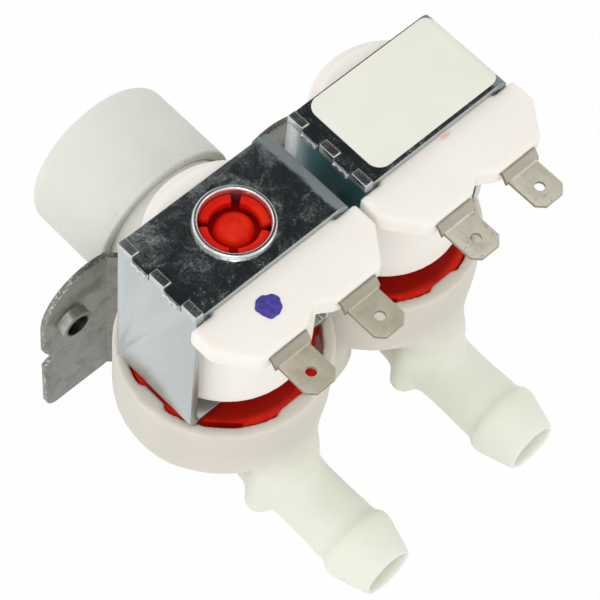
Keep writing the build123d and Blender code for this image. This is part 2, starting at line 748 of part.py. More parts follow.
# Mounting bracket: a joggled strip cut to its outline, with a drawn collar at each screw hole
bend_shift = 0.4 * bracket_sheet
arc_top = ear_arc_centre_z + math.sqrt(ear_arc_radius**2 - (ear_arc_centre_x - ear_inner) ** 2)
arc_middle = ear_arc_radius * math.sin(math.radians(45))
arc_left = -ear_arc_centre_x - ear_arc_radius
with BuildPart() as mounting_bracket:
    with BuildSketch(Plane.XY.offset(ear_bottom)):
        with BuildLine():
            Polyline(
                (-ear_outer - 1, 0),
                (-ear_inner, 0),
                (-ear_inner + bracket_joggle, plate_back),
                (ear_inner - bracket_joggle, plate_back),
                (ear_inner, 0),
                (ear_outer + 1, 0),
                (ear_outer + 1, -bracket_sheet),
                (ear_inner + bend_shift, -bracket_sheet),
                (ear_inner - bracket_joggle + bend_shift, plate_front),
                (-ear_inner + bracket_joggle - bend_shift, plate_front),
                (-ear_inner - bend_shift, -bracket_sheet),
                (-ear_outer - 1, -bracket_sheet),
                close=True,
            )
        make_face()
    extrude(amount=bracket_eye_radius - ear_bottom)
    with BuildSketch(front_plane(0, 1)) as bracket_outline:
        with BuildLine():
            Line((0, arc_top), (-ear_inner, arc_top))
            ThreePointArc(
                (-ear_inner, arc_top),
                (-ear_arc_centre_x - arc_middle, ear_arc_centre_z + arc_middle),
                (arc_left, ear_arc_centre_z),
            )
            Polyline(
                (arc_left, ear_arc_centre_z),
                (-ear_outer, ear_notch_top),
                (-ear_notch_tip_x, ear_notch_tip_z),
                (-ear_outer, ear_notch_bottom),
                (-ear_outer, ear_bottom),
                (0, ear_bottom),
                (0, arc_top),
            )
        make_face()
        fillet(bracket_outline.vertices().group_by(Axis.Y)[0].sort_by(Axis.X)[0], ear_corner)
        mirror(about=Plane.YZ)
        Circle(bracket_eye_radius)
        Circle(bracket_hole, mode=Mode.SUBTRACT)
    extrude(amount=bracket_joggle + 2 * bracket_sheet + 1, mode=Mode.INTERSECT)
    with BuildSketch(front_plane(0, -bracket_sheet)):
        with Locations((-screw_offset, 0), (screw_offset, 0)):
            Circle(screw_collar_radius)
    extrude(amount=screw_collar_length)
    with BuildSketch(front_plane(0, 0)):
        with Locations((-screw_offset, 0), (screw_offset, 0)):
            Circle(screw_hole_radius)
    extrude(amount=bracket_sheet + screw_collar_length, mode=Mode.SUBTRACT)
mounting_bracket.part.label = "mounting_bracket"
export_step(mounting_bracket.part, "parts/mounting_bracket.step")

# Blank label over the right yoke's top, following its bend
label_x = valve_axes["right"]
label_bend = yoke_bend + label_thickness
bend_x = yoke_width / 2 - yoke_bend
bend_z = yoke_top - yoke_bend
with BuildPart() as rating_label:
    with BuildSketch(front_plane(label_x, -coil_setback + label_depth / 2)):
        with Locations((bend_x, bend_z)):
            Circle(label_bend)
        with Locations((label_left, bend_z)):
            Rectangle(bend_x - label_left, label_bend, align=(Align.MIN, Align.MIN))
        with Locations((bend_x, bend_z)):
            Circle(yoke_bend, mode=Mode.SUBTRACT)
        with Locations((label_left, bend_z - label_bend)):
            Rectangle(bend_x - label_left, label_bend + yoke_bend, align=(Align.MIN, Align.MIN), mode=Mode.SUBTRACT)
    extrude(amount=label_depth)
    with BuildSketch(level_plane(label_x, bend_z)):
        with Locations(((label_left + label_right) / 2, 0)):
            RectangleRounded(label_right - label_left, label_depth, label_corner)
    extrude(amount=label_bend, mode=Mode.INTERSECT)
rating_label.part.label = "rating_label"
export_step(rating_label.part, "parts/rating_label.step")

# Ink dot on the left terminal block
with BuildPart() as ink_mark:
    with BuildSketch(level_plane(valve_axes["left"], block_top)):
        with Locations((ink_x, ink_y)):
            Circle(ink_radius)
    extrude(amount=ink_thickness)
ink_mark.part.label = "ink_mark"
export_step(ink_mark.part, "parts/ink_mark.step")
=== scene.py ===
import logging
import math
from dataclasses import dataclass, field
from enum import Enum
from typing import Any, Callable, Optional, Sequence, Union

import bmesh
import bpy
from mathutils import Matrix, Vector

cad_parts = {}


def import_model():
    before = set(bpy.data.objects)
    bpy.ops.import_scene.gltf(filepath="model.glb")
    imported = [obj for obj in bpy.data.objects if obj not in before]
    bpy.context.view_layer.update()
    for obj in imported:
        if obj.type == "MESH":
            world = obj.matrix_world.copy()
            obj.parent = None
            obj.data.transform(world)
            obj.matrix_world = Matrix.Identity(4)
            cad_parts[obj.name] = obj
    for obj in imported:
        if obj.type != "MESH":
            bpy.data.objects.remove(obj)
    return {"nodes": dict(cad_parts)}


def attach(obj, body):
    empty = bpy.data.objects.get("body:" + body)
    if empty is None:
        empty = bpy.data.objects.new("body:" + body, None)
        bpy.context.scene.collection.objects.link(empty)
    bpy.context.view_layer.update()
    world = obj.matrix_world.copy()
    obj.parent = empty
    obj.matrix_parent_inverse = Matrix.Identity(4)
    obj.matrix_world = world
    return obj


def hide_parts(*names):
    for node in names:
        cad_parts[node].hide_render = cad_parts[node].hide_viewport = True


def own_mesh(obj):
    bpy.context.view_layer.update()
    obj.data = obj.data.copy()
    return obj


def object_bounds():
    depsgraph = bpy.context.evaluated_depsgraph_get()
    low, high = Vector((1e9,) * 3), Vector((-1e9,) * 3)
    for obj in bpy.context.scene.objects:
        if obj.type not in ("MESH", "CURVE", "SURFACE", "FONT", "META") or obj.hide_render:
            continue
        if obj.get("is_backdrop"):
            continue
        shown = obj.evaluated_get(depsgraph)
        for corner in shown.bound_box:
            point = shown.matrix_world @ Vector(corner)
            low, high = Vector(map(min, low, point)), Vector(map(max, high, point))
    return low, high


LOG = logging.getLogger("inlet_valve")
MM = 0.001
Colour = tuple[float, float, float]
Number = Union[float, "Field"]
Rule = Callable[[Vector], None]
Outline = Sequence[tuple[float, float]]
UP, ALONG = Vector((0, 0, 1)), Vector((0, 1, 0))
AXIS_X, AXIS_Y = 17.6, -30.0
YOKE_HALF, YOKE_TOP, YOKE_DROP = 15.75, 57.5, 2.2


def toned(colour: Colour, factor: float) -> Colour:
    """A colour made lighter or darker, held at white."""
    return tuple(min(1.0, c * factor) for c in colour)


def placed(name: str, data: Any) -> bpy.types.Object:
    """A new object in the scene that holds the given data."""
    made = bpy.data.objects.new(name, data)
    bpy.context.scene.collection.objects.link(made)
    return made


def held(value: float) -> float:
    """A number held between 0 and 1."""
    return min(1.0, max(0.0, value))


class Side(Enum):
    """The two valves, by the sign of their place along X."""

    LEFT = -1
    RIGHT = 1

    @property
    def word(self) -> str:
        """The word that starts this valve's node names."""
        return self.name.lower()


class Nodes:
    """One node tree, and the one way in which it gets its nodes."""

    def __init__(self, tree: bpy.types.NodeTree) -> None:
        """Keeps the tree."""
        self.tree = tree

    def node(self, kind: str, settings: dict[str, Any], inputs: dict[Any, Any],
             result: Any = 0) -> bpy.types.NodeSocket:
        """Adds any node.

        Args:
            kind: Blender's node type.
            settings: attributes to set before its sockets, or a colour ramp's two stops.
            inputs: values or links by socket name or number.
            result: the output's name or number.

        Returns:
            The chosen output socket.
        """
        made = self.tree.nodes.new(kind)
        for key, value in settings.items():
            if key == "stops":
                for stop, (position, colour) in zip(made.color_ramp.elements, value):
                    stop.position, stop.color = position, (*colour, 1.0)
            else:
                setattr(made, key, value)
        for key, value in inputs.items():
            self.feed(made.inputs[key], value)
        return made.outputs[result]

    def feed(self, target: bpy.types.NodeSocket, value: Any) -> None:
        """Sets or links one input.

        Args:
            target: the input socket.
            value: a number, a colour, a Field or a socket.
        """
        if isinstance(value, Field):
            self.tree.links.new(value.socket, target)
        elif isinstance(value, bpy.types.NodeSocket):
            self.tree.links.new(value, target)
        elif isinstance(value, tuple) and len(value) == 3 and target.type == "RGBA":
            target.default_value = (*value, 1.0)
        else:
            target.default_value = value


def operator(operation: str, reflected: bool = False) -> Callable[["Field", Number], "Field"]:
    """Makes an arithmetic method.

    Args:
        operation: Blender's name for the operation.
        reflected: whether the other term comes first.

    Returns:
        The method.
    """
    def method(mine: "Field", other: Number) -> "Field":
        """The result on two terms."""
        return mine.maths(operation, *((other, mine) if reflected else (mine, other)))

    return method


class Field:
    """A number that varies over a surface, with the usual arithmetic."""

    def __init__(self, graph: "Graph", socket: bpy.types.NodeSocket) -> None:
        """Wraps one output socket.

        Args:
            graph: the material's node graph.
            socket: the output that carries the number.
        """
        self.graph = graph
        self.socket = socket

    def maths(self, operation: str, *terms: Number) -> "Field":
        """Adds a Math node.

        Args:
            operation: Blender's name for the operation.
            terms: its inputs in order.

        Returns:
            The node's result.
        """
        return Field(self.graph, self.graph.node("ShaderNodeMath", {"operation": operation}, dict(enumerate(terms))))

    __add__, __radd__ = operator("ADD"), operator("ADD", True)
    __sub__, __rsub__ = operator("SUBTRACT"), operator("SUBTRACT", True)
    __mul__, __rmul__ = operator("MULTIPLY"), operator("MULTIPLY", True)
    __truediv__, __pow__ = operator("DIVIDE"), operator("POWER")

    def __abs__(self) -> "Field":
        """Size without sign."""
        return self.maths("ABSOLUTE", self)

    def clamp(self) -> "Field":
        """The number held between 0 and 1, eased at both ends."""
        return self.graph.ramp(self, 0.0, 1.0)


class Graph(Nodes):
    """The node graph of one material."""

    def __init__(self, name: str) -> None:
        """Starts an empty material with its surface shader.

        Args:
            name: the material's name.
        """
        self.material = bpy.data.materials.new(name)
        self.material.use_nodes = True
        super().__init__(self.material.node_tree)
        self.tree.nodes.clear()
        self.output = self.tree.nodes.new("ShaderNodeOutputMaterial")
        self.surface = self.tree.nodes.new("ShaderNodeBsdfPrincipled")
        self.tree.links.new(self.surface.outputs[0], self.output.inputs["Surface"])
        self.place = self.node("ShaderNodeTexCoord", {}, {}, "Object")

    def set(self, **inputs: Any) -> None:
        """Sets the surface shader's inputs, with _ for each space in their names."""
        for key, value in inputs.items():
            self.feed(self.surface.inputs[key.replace("_", " ")], value)

    def split(self, vector: bpy.types.NodeSocket) -> tuple[Field, ...]:
        """A vector's three numbers."""
        outputs = self.node("ShaderNodeSeparateXYZ", {}, {0: vector}).node.outputs
        return tuple(Field(self, output) for output in outputs)

    def axes(self) -> tuple[Field, ...]:
        """The place on the object, in millimetres, as three numbers."""
        return tuple(place / MM for place in self.split(self.place))

    def reach(self, x: Field, y: Field) -> Field:
        """Distance from the nearer valve's axis, in millimetres."""
        return ((abs(x) - AXIS_X) ** 2 + (y - AXIS_Y) ** 2) ** 0.5

    def facing(self, axis: int) -> Field:
        """How squarely the surface faces along an axis, from 0 to 1."""
        return abs(self.split(self.node("ShaderNodeNewGeometry", {}, {}, "True Normal"))[axis])

    def noise(self, size_mm: float, detail: float = 3.0, rough: float = 0.55, warp: float = 0.0,
              stretch: Sequence[float] = (1, 1, 1)) -> Field:
        """Cloudy noise.

        Args:
            size_mm: the size of its largest blotches.
            detail: octaves.
            rough: weight of the fine octaves.
            warp: distortion.
            stretch: factors for the three axes.

        Returns:
            A number about 0.5.
        """
        place = self.place
        if tuple(stretch) != (1, 1, 1):
            place = self.node("ShaderNodeMapping", {}, {"Vector": place, "Scale": tuple(stretch)})
        inputs = {"Vector": place, "Scale": 1 / (size_mm * MM), "Detail": detail, "Roughness": rough,
                  "Distortion": warp}
        return Field(self, self.node("ShaderNodeTexNoise", {}, inputs))

    def blotches(self, low: float, high: float, *kind: Any) -> Field:
        """Patches of noise, from 0 at a low level to 1 at a high one."""
        return self.ramp(self.noise(*kind), low, high)

    def ramp(self, value: Field, low: float, high: float, start: float = 0.0, end: float = 1.0) -> Field:
        """Maps a span of a number smoothly onto another.

        Args:
            value: the number.
            low: where the span starts.
            high: where it ends.
            start: the result at low.
            end: the result at high.

        Returns:
            The mapped number, held at both ends.
        """
        settings = {"interpolation_type": "SMOOTHSTEP", "clamp": True}
        inputs = {"Value": value, "From Min": low, "From Max": high, "To Min": start, "To Max": end}
        return Field(self, self.node("ShaderNodeMapRange", settings, inputs))

    def mix(self, mask: Number, under: Any, over: Any) -> bpy.types.NodeSocket:
        """Lays one colour over another.

        Args:
            mask: 0 shows the under colour and 1 the over colour.
            under: a colour or its socket.
            over: a colour or its socket.

        Returns:
            The mixed colour.
        """
        return self.node("ShaderNodeMix", {"data_type": "RGBA"}, {0: mask, 6: under, 7: over}, 2)

    def bump(self, height: Field, depth_mm: float, strength: float = 1.0) -> None:
        """Gives the surface a relief.

        Args:
            height: the relief, from 0 to 1.
            depth_mm: its depth.
            strength: how strongly it tilts the shading.
        """
        inputs = {"Height": height, "Distance": depth_mm * MM, "Strength": strength}
        self.set(Normal=self.node("ShaderNodeBump", {}, inputs))


@dataclass(frozen=True)
class Finish:
    """One finish of the valve.

    Args:
        name: the material's name.
        colour: its main colour.
        rough: its roughness.
    """

    name: str
    colour: Colour
    rough: float = 0.4

    def build(self) -> bpy.types.Material:
        """Makes the material.

        Returns:
            The finished material.
        """
        graph = Graph(self.name)
        self.dress(graph)
        return graph.material

    def dress(self, graph: Graph) -> None:
        """Fills the graph: an even surface with faint handling marks."""
        marks = graph.noise(2.5, 5)
        graph.set(Base_Color=graph.mix(graph.ramp(marks, 0.35, 0.75), self.colour, toned(self.colour, 0.93)),
                  Roughness=graph.ramp(marks, 0.3, 0.7, self.rough - 0.05, self.rough + 0.08))
        graph.bump(graph.noise(0.3, 2), 0.01, 0.3)


@dataclass(frozen=True)
class ZincPlate(Finish):
    """Bright zinc on folded strip: a mirror with soft smudges, spangle and fine rolling scratches.

    Args:
        smudge: how much the smudges dull the mirror.
        painted_reflection: strength of the painted pale reflection where the sheet turns; when not zero, the right
            yoke's inner side also gets a painted dark reflection.
    """

    smudge: float = 0.3
    painted_reflection: float = 0.0

    def dress(self, graph: Graph) -> None:
        """Fills the graph: smudges and spangle act on the roughness, and only faintly on the colour; with a painted
        reflection, a pale band is painted on the bend and a dark teal reflection on the right yoke's inner side.
        """
        x, y, z = graph.axes()
        top = graph.ramp(z, YOKE_TOP - 0.3, YOKE_TOP - 0.05)
        haze = graph.blotches(0.36, 0.72, 5.0, 10, 0.78, 1.0) * top
        grain = graph.blotches(0.42, 0.72, 0.55, 5, 0.75, 0.4)
        spangle = graph.blotches(0.5, 0.68, 0.3, 3, 0.7) * top
        base = graph.mix(grain * 0.3, self.colour, toned(self.colour, 1.25))
        far = graph.ramp(y, -32.0, -22.0) * graph.ramp(abs(x + AXIS_X), 20.0, 10.0)
        rough = self.rough + self.smudge * haze * (0.7 + 0.4 * grain) + 0.3 * spangle * haze + 0.1 * far * top
        rough = rough + 0.16 * (1.0 - top)
        if self.painted_reflection:
            bend, teal = self.bends(graph), self.shaded(graph)
            # painted reflection: a pale band along the bend
            base = graph.mix(bend * self.painted_reflection, base, (0.42, 0.46, 0.47))
            # painted reflection: dark teal on the right yoke's inner side
            base = graph.mix(teal, base, (0.07, 0.21, 0.24))
            rough = rough + 0.45 * bend + 0.25 * teal
        graph.set(Base_Color=base, Metallic=1.0, Roughness=rough.clamp())
        graph.bump(grain + spangle, 0.008, 0.3)

    def bends(self, graph: Graph) -> Field:
        """Where the strip turns from its top down to its right side, from 0 to 1.

        Args:
            graph: the material's graph.

        Returns:
            1 on the bend and 0 away from it.
        """
        x, _, z = graph.axes()
        side = x - graph.ramp(x, -0.1, 0.1, -AXIS_X, AXIS_X)
        waver = graph.noise(3.0, 3) * 1.2 - 0.6
        return graph.ramp(side + waver, 12.4, 13.7) * graph.ramp(z, 54.8, 56.4)

    def shaded(self, graph: Graph) -> Field:
        """The right yoke's inner side, painted dark where the two yokes mirror each other and paler at its far end.

        Args:
            graph: the material's graph.

        Returns:
            1 on the dark part.
        """
        x, y, z = graph.axes()
        plate = graph.ramp(x, 1.0, 1.5) * graph.ramp(x, 3.2, 2.8)
        return plate * graph.ramp(y, -22.5, -27.5) * graph.ramp(z, 56.2, 55.4) * 0.92


@dataclass(frozen=True)
class WornSteel(Finish):
    """Dull stainless sheet with soft stains and a fine matt grain."""

    def dress(self, graph: Graph) -> None:
        """Fills the graph with stains, specks, a grain and lighter edges, with a painted highlight on the holes'
        collars and painted shade inside the holes.
        """
        stain = graph.blotches(0.45, 0.7, 4.0, 6, 0.65, 0.8)
        specks = graph.blotches(0.58, 0.72, 0.4, 3)
        pale = graph.blotches(0.6, 0.75, 0.6, 4, 0.6)
        base = graph.mix(stain * 0.45, self.colour, toned(self.colour, 0.6))
        base = graph.mix(pale * 0.4, base, toned(self.colour, 1.5))
        base = graph.mix(specks * 0.35, base, (0.16, 0.13, 0.1))
        x, _, z = graph.axes()
        reach = ((abs(x) - 26.2) ** 2 + z ** 2) ** 0.5
        collar = graph.ramp(reach, 4.2, 3.4)
        rim = graph.ramp(graph.facing(1), 0.75, 0.4)
        worn = rim * (1.0 - collar) * graph.blotches(0.5, 0.62, 0.5, 3)
        base = graph.mix(worn * 0.7, base, (0.62, 0.61, 0.57))
        # painted highlight on the inner wall of each hole's collar
        base = graph.mix(collar * rim * 0.7, base, (0.5, 0.5, 0.47))
        # painted shade inside each hole
        base = graph.mix(graph.ramp(reach, 2.6, 2.3), base, (0.03, 0.03, 0.03))
        graph.set(Base_Color=base, Metallic=0.85, Roughness=(self.rough + 0.12 * stain + 0.1 * specks).clamp())
        graph.bump(graph.noise(0.25, 3), 0.02, 0.5)


@dataclass(frozen=True)
class TinPlate(Finish):
    """Dull tinned tab with rolling lines along it and a touch of tarnish.

    Args:
        tarnish: strength of the brown clouds.
        spots: strength of the dark specks near its tip.
    """

    tarnish: float = 0.35
    spots: float = 0.0

    def dress(self, graph: Graph) -> None:
        """Fills the graph with rolling lines, clouds and specks, a darker band from the shoulder back, and painted
        shade on the faces that turn away from the top.
        """
        lines = graph.noise(0.3, 3, 0.5, 0.0, (1.0, 0.06, 1.0))
        cloud = graph.blotches(0.48, 0.72, 2.4, 5, 0.6, 0.7)
        base = graph.mix(cloud * self.tarnish, self.colour, (0.38, 0.32, 0.24))
        base = graph.mix(graph.ramp(lines, 0.4, 0.8) * 0.2, base, toned(self.colour, 1.3))
        _, y, _ = graph.axes()
        shoulder = graph.ramp(y, -51.1, -50.9)
        base = graph.mix(shoulder * 0.7, base, (0.36, 0.32, 0.26))
        # painted shade on the faces that turn away from the top
        base = graph.mix(graph.ramp(graph.facing(2), 0.5, 0.2) * 0.75, base, (0.2, 0.17, 0.13))
        if self.spots:
            spots = graph.blotches(0.6, 0.7, 0.7, 4, 0.6, 0.4) * graph.ramp(y, -52.0, -56.0)
            base = graph.mix(spots * self.spots, base, (0.16, 0.12, 0.08))
        graph.set(Base_Color=base, Metallic=0.45, Roughness=graph.ramp(lines, 0.3, 0.7, self.rough, self.rough + 0.12))
        graph.bump(lines, 0.006, 0.4)


@dataclass(frozen=True)
class SoftPlastic(Finish):
    """Moulded plastic that light enters a little.

    Args:
        depth_mm: how far the light spreads.
        weight: how much of it spreads.
        other: a second colour that comes and goes in slow clouds.
        cloud_mm: the size of those clouds.
        grain: strength of the mould grain.
        shine: the shader's specular level.
    """

    depth_mm: float = 1.5
    weight: float = 0.3
    other: Colour = (0.9, 0.9, 0.85)
    cloud_mm: float = 12.0
    grain: float = 0.2
    shine: float = 0.5

    def tint(self, graph: Graph, base: Any) -> Any:
        """Lays this finish's own marks over the base colour."""
        return base

    def dress(self, graph: Graph) -> None:
        """Fills the graph with slow clouds and a mould grain."""
        cloud = graph.blotches(0.35, 0.65, self.cloud_mm, 3, 0.5, 0.4)
        scuff = graph.blotches(0.56, 0.78, 1.2, 6, 0.65, 0.5)
        base = graph.mix(cloud, self.colour, self.other)
        base = graph.mix(scuff * 0.08, base, toned(self.colour, 0.85))
        graph.set(Base_Color=self.tint(graph, base), Roughness=(self.rough + 0.1 * scuff).clamp(),
                  Subsurface_Weight=self.weight, Subsurface_Radius=(1.0, 0.9, 0.7),
                  Subsurface_Scale=self.depth_mm * MM, IOR=1.5, Specular_IOR_Level=self.shine)
        graph.bump(graph.noise(0.9, 4) + 0.3 * scuff, 0.015, self.grain)


@dataclass(frozen=True)
class BodyNylon(SoftPlastic):
    """Natural nylon: pinkish grey bowls, greener tails, painted light on the shaded inlet, and painted orange light
    from the red bonnet on the collars.
    """

    def tint(self, graph: Graph, base: Any) -> Any:
        """Lays the tails' colour, painted light on the shaded inlet and painted orange light from the red bonnet on the
        collars over the base.

        Args:
            graph: the material's graph.
            base: the colour so far.

        Returns:
            The tinted colour.
        """
        x, y, z = graph.axes()
        tails = graph.ramp(y, -38.0, -50.0) * graph.ramp(z, 14.0, 2.0)
        base = graph.mix(tails * 0.9, base, (0.83, 0.86, 0.75))
        # painted light: lifts the inlet end, which the cap and coil shade
        base = graph.mix(graph.ramp(y, -13.0, -8.0) * 0.8, base, (0.86, 0.87, 0.81))
        reach = graph.reach(x, y)
        # painted orange light from the red bonnet on the collars' inner wall
        inside = graph.ramp(reach, 16.9, 16.5) * graph.ramp(reach, 15.6, 16.2)
        band = inside * graph.ramp(z, 17.0, 18.5) * graph.ramp(z, 21.6, 20.4)
        return graph.mix(band * 0.6, base, (0.80, 0.36, 0.14))


@dataclass(frozen=True)
class RedNylon(SoftPlastic):
    """Red bonnet plastic, deep where the coil shades its flange."""

    def tint(self, graph: Graph, base: Any) -> Any:
        """Lays the painted shade under the coil and in the crown's slots over the base colour."""
        x, y, z = graph.axes()
        reach = graph.reach(x, y)
        shade = graph.ramp(reach, 15.6, 14.0) * graph.ramp(z, 30.0, 24.0)
        base = graph.mix(shade * 0.85, base, (0.22, 0.002, 0.001))
        # painted shade in the crown's slots and the recess round the dome
        slots = graph.ramp(z, 56.2, 54.7) * graph.ramp(z, 50.0, 53.0)
        ring = graph.ramp(reach, 3.0, 3.5)
        return graph.mix(slots * ring * 0.6, base, (0.26, 0.002, 0.001))


@dataclass(frozen=True)
class CapPolythene(SoftPlastic):
    """White cap with a few dark specks near its open rim."""

    def tint(self, graph: Graph, base: Any) -> Any:
        """Lays the specks over the base colour."""
        _, y, _ = graph.axes()
        specks = graph.blotches(0.62, 0.70, 0.6, 3, 0.6) * graph.ramp(y, 5.6, 4.2)
        return graph.mix(specks * 0.5, base, (0.36, 0.34, 0.3))


@dataclass(frozen=True)
class CoilResin(SoftPlastic):
    """White coil moulding with faint flow marks and one pale orange smear on the right block."""

    def tint(self, graph: Graph, base: Any) -> Any:
        """Lays the smear and the flow marks over the base colour."""
        x, y, z = graph.axes()
        across, along = (x - 18.5) / 2.1, (y + 39.3) / 0.6
        near = graph.ramp((across * across + along * along) ** 0.5, 1.0, 0.3) * graph.ramp(z, 55.0, 55.6)
        smear = near * graph.blotches(0.35, 0.6, 1.2, 4)
        flow = graph.blotches(0.58, 0.72, 5.0, 4, 0.55, 1.0)
        base = graph.mix(flow * 0.15, base, (0.84, 0.82, 0.78))
        return graph.mix(smear * 0.8, base, (0.90, 0.50, 0.30))


@dataclass(frozen=True)
class LabelFilm(Finish):
    """Blank label film, slightly uneven where it lies on the plate."""

    def dress(self, graph: Graph) -> None:
        """Fills the graph with a faint unevenness and no print."""
        waves = graph.noise(7.0, 2, 0.4)
        graph.set(Base_Color=graph.mix(graph.ramp(waves, 0.3, 0.7), self.colour, toned(self.colour, 0.97)),
                  Roughness=graph.ramp(waves, 0.3, 0.7, self.rough, self.rough + 0.08))
        graph.bump(waves, 0.05, 0.35)


@dataclass(frozen=True)
class MarkerInk(Finish):
    """Dried marker ink, thin at its rim and blotched inside."""

    def dress(self, graph: Graph) -> None:
        """Fills the graph with blotches of the ink's two tones."""
        blotch = graph.blotches(0.4, 0.62, 1.1, 4, 0.6, 0.8)
        graph.set(Base_Color=graph.mix(blotch, self.colour, (0.05, 0.035, 0.27)), Roughness=self.rough)
        graph.bump(blotch, 0.02, 0.4)


@dataclass(frozen=True)
class WoundCopper(Finish):
    """Enamelled wire wound in close turns round the coil axis."""

    def dress(self, graph: Graph) -> None:
        """Fills the graph with turns stacked along Z."""
        turns = Field(graph, graph.node("ShaderNodeTexWave", {"bands_direction": "Z"},
                                        {"Vector": graph.place, "Scale": 400.0, "Distortion": 0.3}, 1))
        graph.set(Base_Color=graph.mix(turns, toned(self.colour, 0.5), self.colour), Metallic=1.0,
                  Roughness=self.rough)
        graph.bump(turns, 0.05, 0.8)


@dataclass
class Studio:
    """Pale floor, soft lamps and the camera at the photograph's angle.

    Args:
        floor_level: the floor's height, in metres.
        eye: the camera's place, in metres.
        azimuth: the side it looks from, in degrees.
        elevation: its height above the horizon, in degrees.
        roll: how far the picture leans, in degrees.
        lens: focal length on the sensor, in millimetres.
        sensor: the sensor's width.
        aim: what the lamps face, in metres.
        level: strength of the light from all round.
        reach: how far the floor goes each way, in metres.
    """

    floor_level: float
    eye: Vector = field(default_factory=lambda: Vector((-0.15726, -0.15976, 0.36276)))
    azimuth: float = -50.53
    elevation: float = 59.69
    roll: float = 7.96
    lens: float = 142.86
    sensor: float = 36.0
    aim: Vector = field(default_factory=lambda: Vector((0, -0.02, 0.02)))
    level: float = 0.78
    reach: float = 3.0

    def camera(self) -> None:
        """Sets the camera that took the picture."""
        a, e, r = (math.radians(v) for v in (self.azimuth, self.elevation, self.roll))
        back = Vector((math.sin(a) * math.cos(e), -math.cos(a) * math.cos(e), math.sin(e)))
        level = Vector((math.cos(a), math.sin(a), 0.0))
        rise = back.cross(level)
        right = math.cos(r) * level + math.sin(r) * rise
        up = -math.sin(r) * level + math.cos(r) * rise
        data = bpy.data.cameras.new("view")
        data.lens = self.lens
        data.sensor_width = self.sensor
        data.clip_start = 0.01
        camera = placed("view", data)
        camera.matrix_world = Matrix.Translation(self.eye) @ Matrix((right, up, back)).transposed().to_4x4()
        bpy.context.scene.camera = camera

    def lamp(self, name: str, spot: Sequence[float], size: float, power: float) -> None:
        """Adds a square soft lamp that faces the valve.

        Args:
            name: the lamp's name.
            spot: where it stands, in metres.
            size: its side.
            power: its power in watts.
        """
        place = Vector(spot)
        data = bpy.data.lights.new(name, "AREA")
        data.size = size
        data.energy = power
        lamp = placed(name, data)
        lamp.location = place
        lamp.rotation_euler = (self.aim - place).to_track_quat("-Z", "Y").to_euler()

    def floor(self) -> None:
        """Lays the white floor, which keeps the object's soft shadow."""
        mesh = bpy.data.meshes.new("floor")
        corners = ((-1, -1), (1, -1), (1, 1), (-1, 1))
        mesh.from_pydata([(x * self.reach, y * self.reach, self.floor_level) for x, y in corners], [], [(0, 1, 2, 3)])
        floor = placed("floor", mesh)
        graph = Graph("floor_white")
        graph.set(Base_Color=(0.96, 0.96, 0.96), Roughness=0.9)
        camera, glossy, through = (Field(graph, graph.node("ShaderNodeLightPath", {}, {}, f"Is {kind} Ray"))
                                   for kind in ("Camera", "Glossy", "Transmission"))
        seen = (camera + glossy + through).clamp()
        glow = graph.node("ShaderNodeEmission", {}, {"Color": (1.0, 1.0, 1.0), "Strength": 1.0})
        both = graph.node("ShaderNodeMixShader", {}, {0: seen * 0.97, 1: graph.surface.outputs[0], 2: glow})
        graph.feed(graph.output.inputs["Surface"], both)
        mesh.materials.append(graph.material)
        floor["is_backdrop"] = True

    def sky(self) -> None:
        """Lights all round at a plain level, with a darker patch above that the plated steel mirrors."""
        world = bpy.data.worlds.new("studio")
        world.use_nodes = True
        sky = Nodes(world.node_tree)
        sky.tree.nodes.clear()
        out = sky.tree.nodes.new("ShaderNodeOutputWorld")
        plain = sky.node("ShaderNodeBackground", {}, {"Color": (1.0, 1.0, 1.0), "Strength": self.level})
        towards = sky.node("ShaderNodeTexCoord", {}, {}, "Generated")
        patch = Vector((0.39, 0.32, 0.863)).normalized()
        near = sky.node("ShaderNodeVectorMath", {"operation": "DOT_PRODUCT"}, {0: towards, 1: patch}, "Value")
        shade = sky.node("ShaderNodeValToRGB", {"stops": ((0.55, (0.8, 0.82, 0.83)), (0.93, (0.03, 0.034, 0.036)))},
                         {0: near})
        mirrored = sky.node("ShaderNodeBackground", {}, {"Color": shade, "Strength": 1.0})
        glossy = sky.node("ShaderNodeLightPath", {}, {}, "Is Glossy Ray")
        sky.feed(out.inputs[0], sky.node("ShaderNodeMixShader", {}, {0: glossy, 1: plain, 2: mirrored}))
        bpy.context.scene.world = world

    def build(self) -> None:
        """Sets up the floor, the lamps, the sky and the camera."""
        bpy.context.scene.view_settings.view_transform = "Standard"
        self.floor()
        self.sky()
        self.lamp("key", (-0.55, -0.35, 0.75), 0.5, 1.9)
        self.lamp("fill", (0.45, -0.75, 0.45), 0.6, 0.8)
        self.lamp("rim", (-0.25, 0.7, 0.5), 0.6, 0.6)
        self.lamp("low", (-0.5, 0.1, 0.03), 0.1, 0.16)
        self.camera()


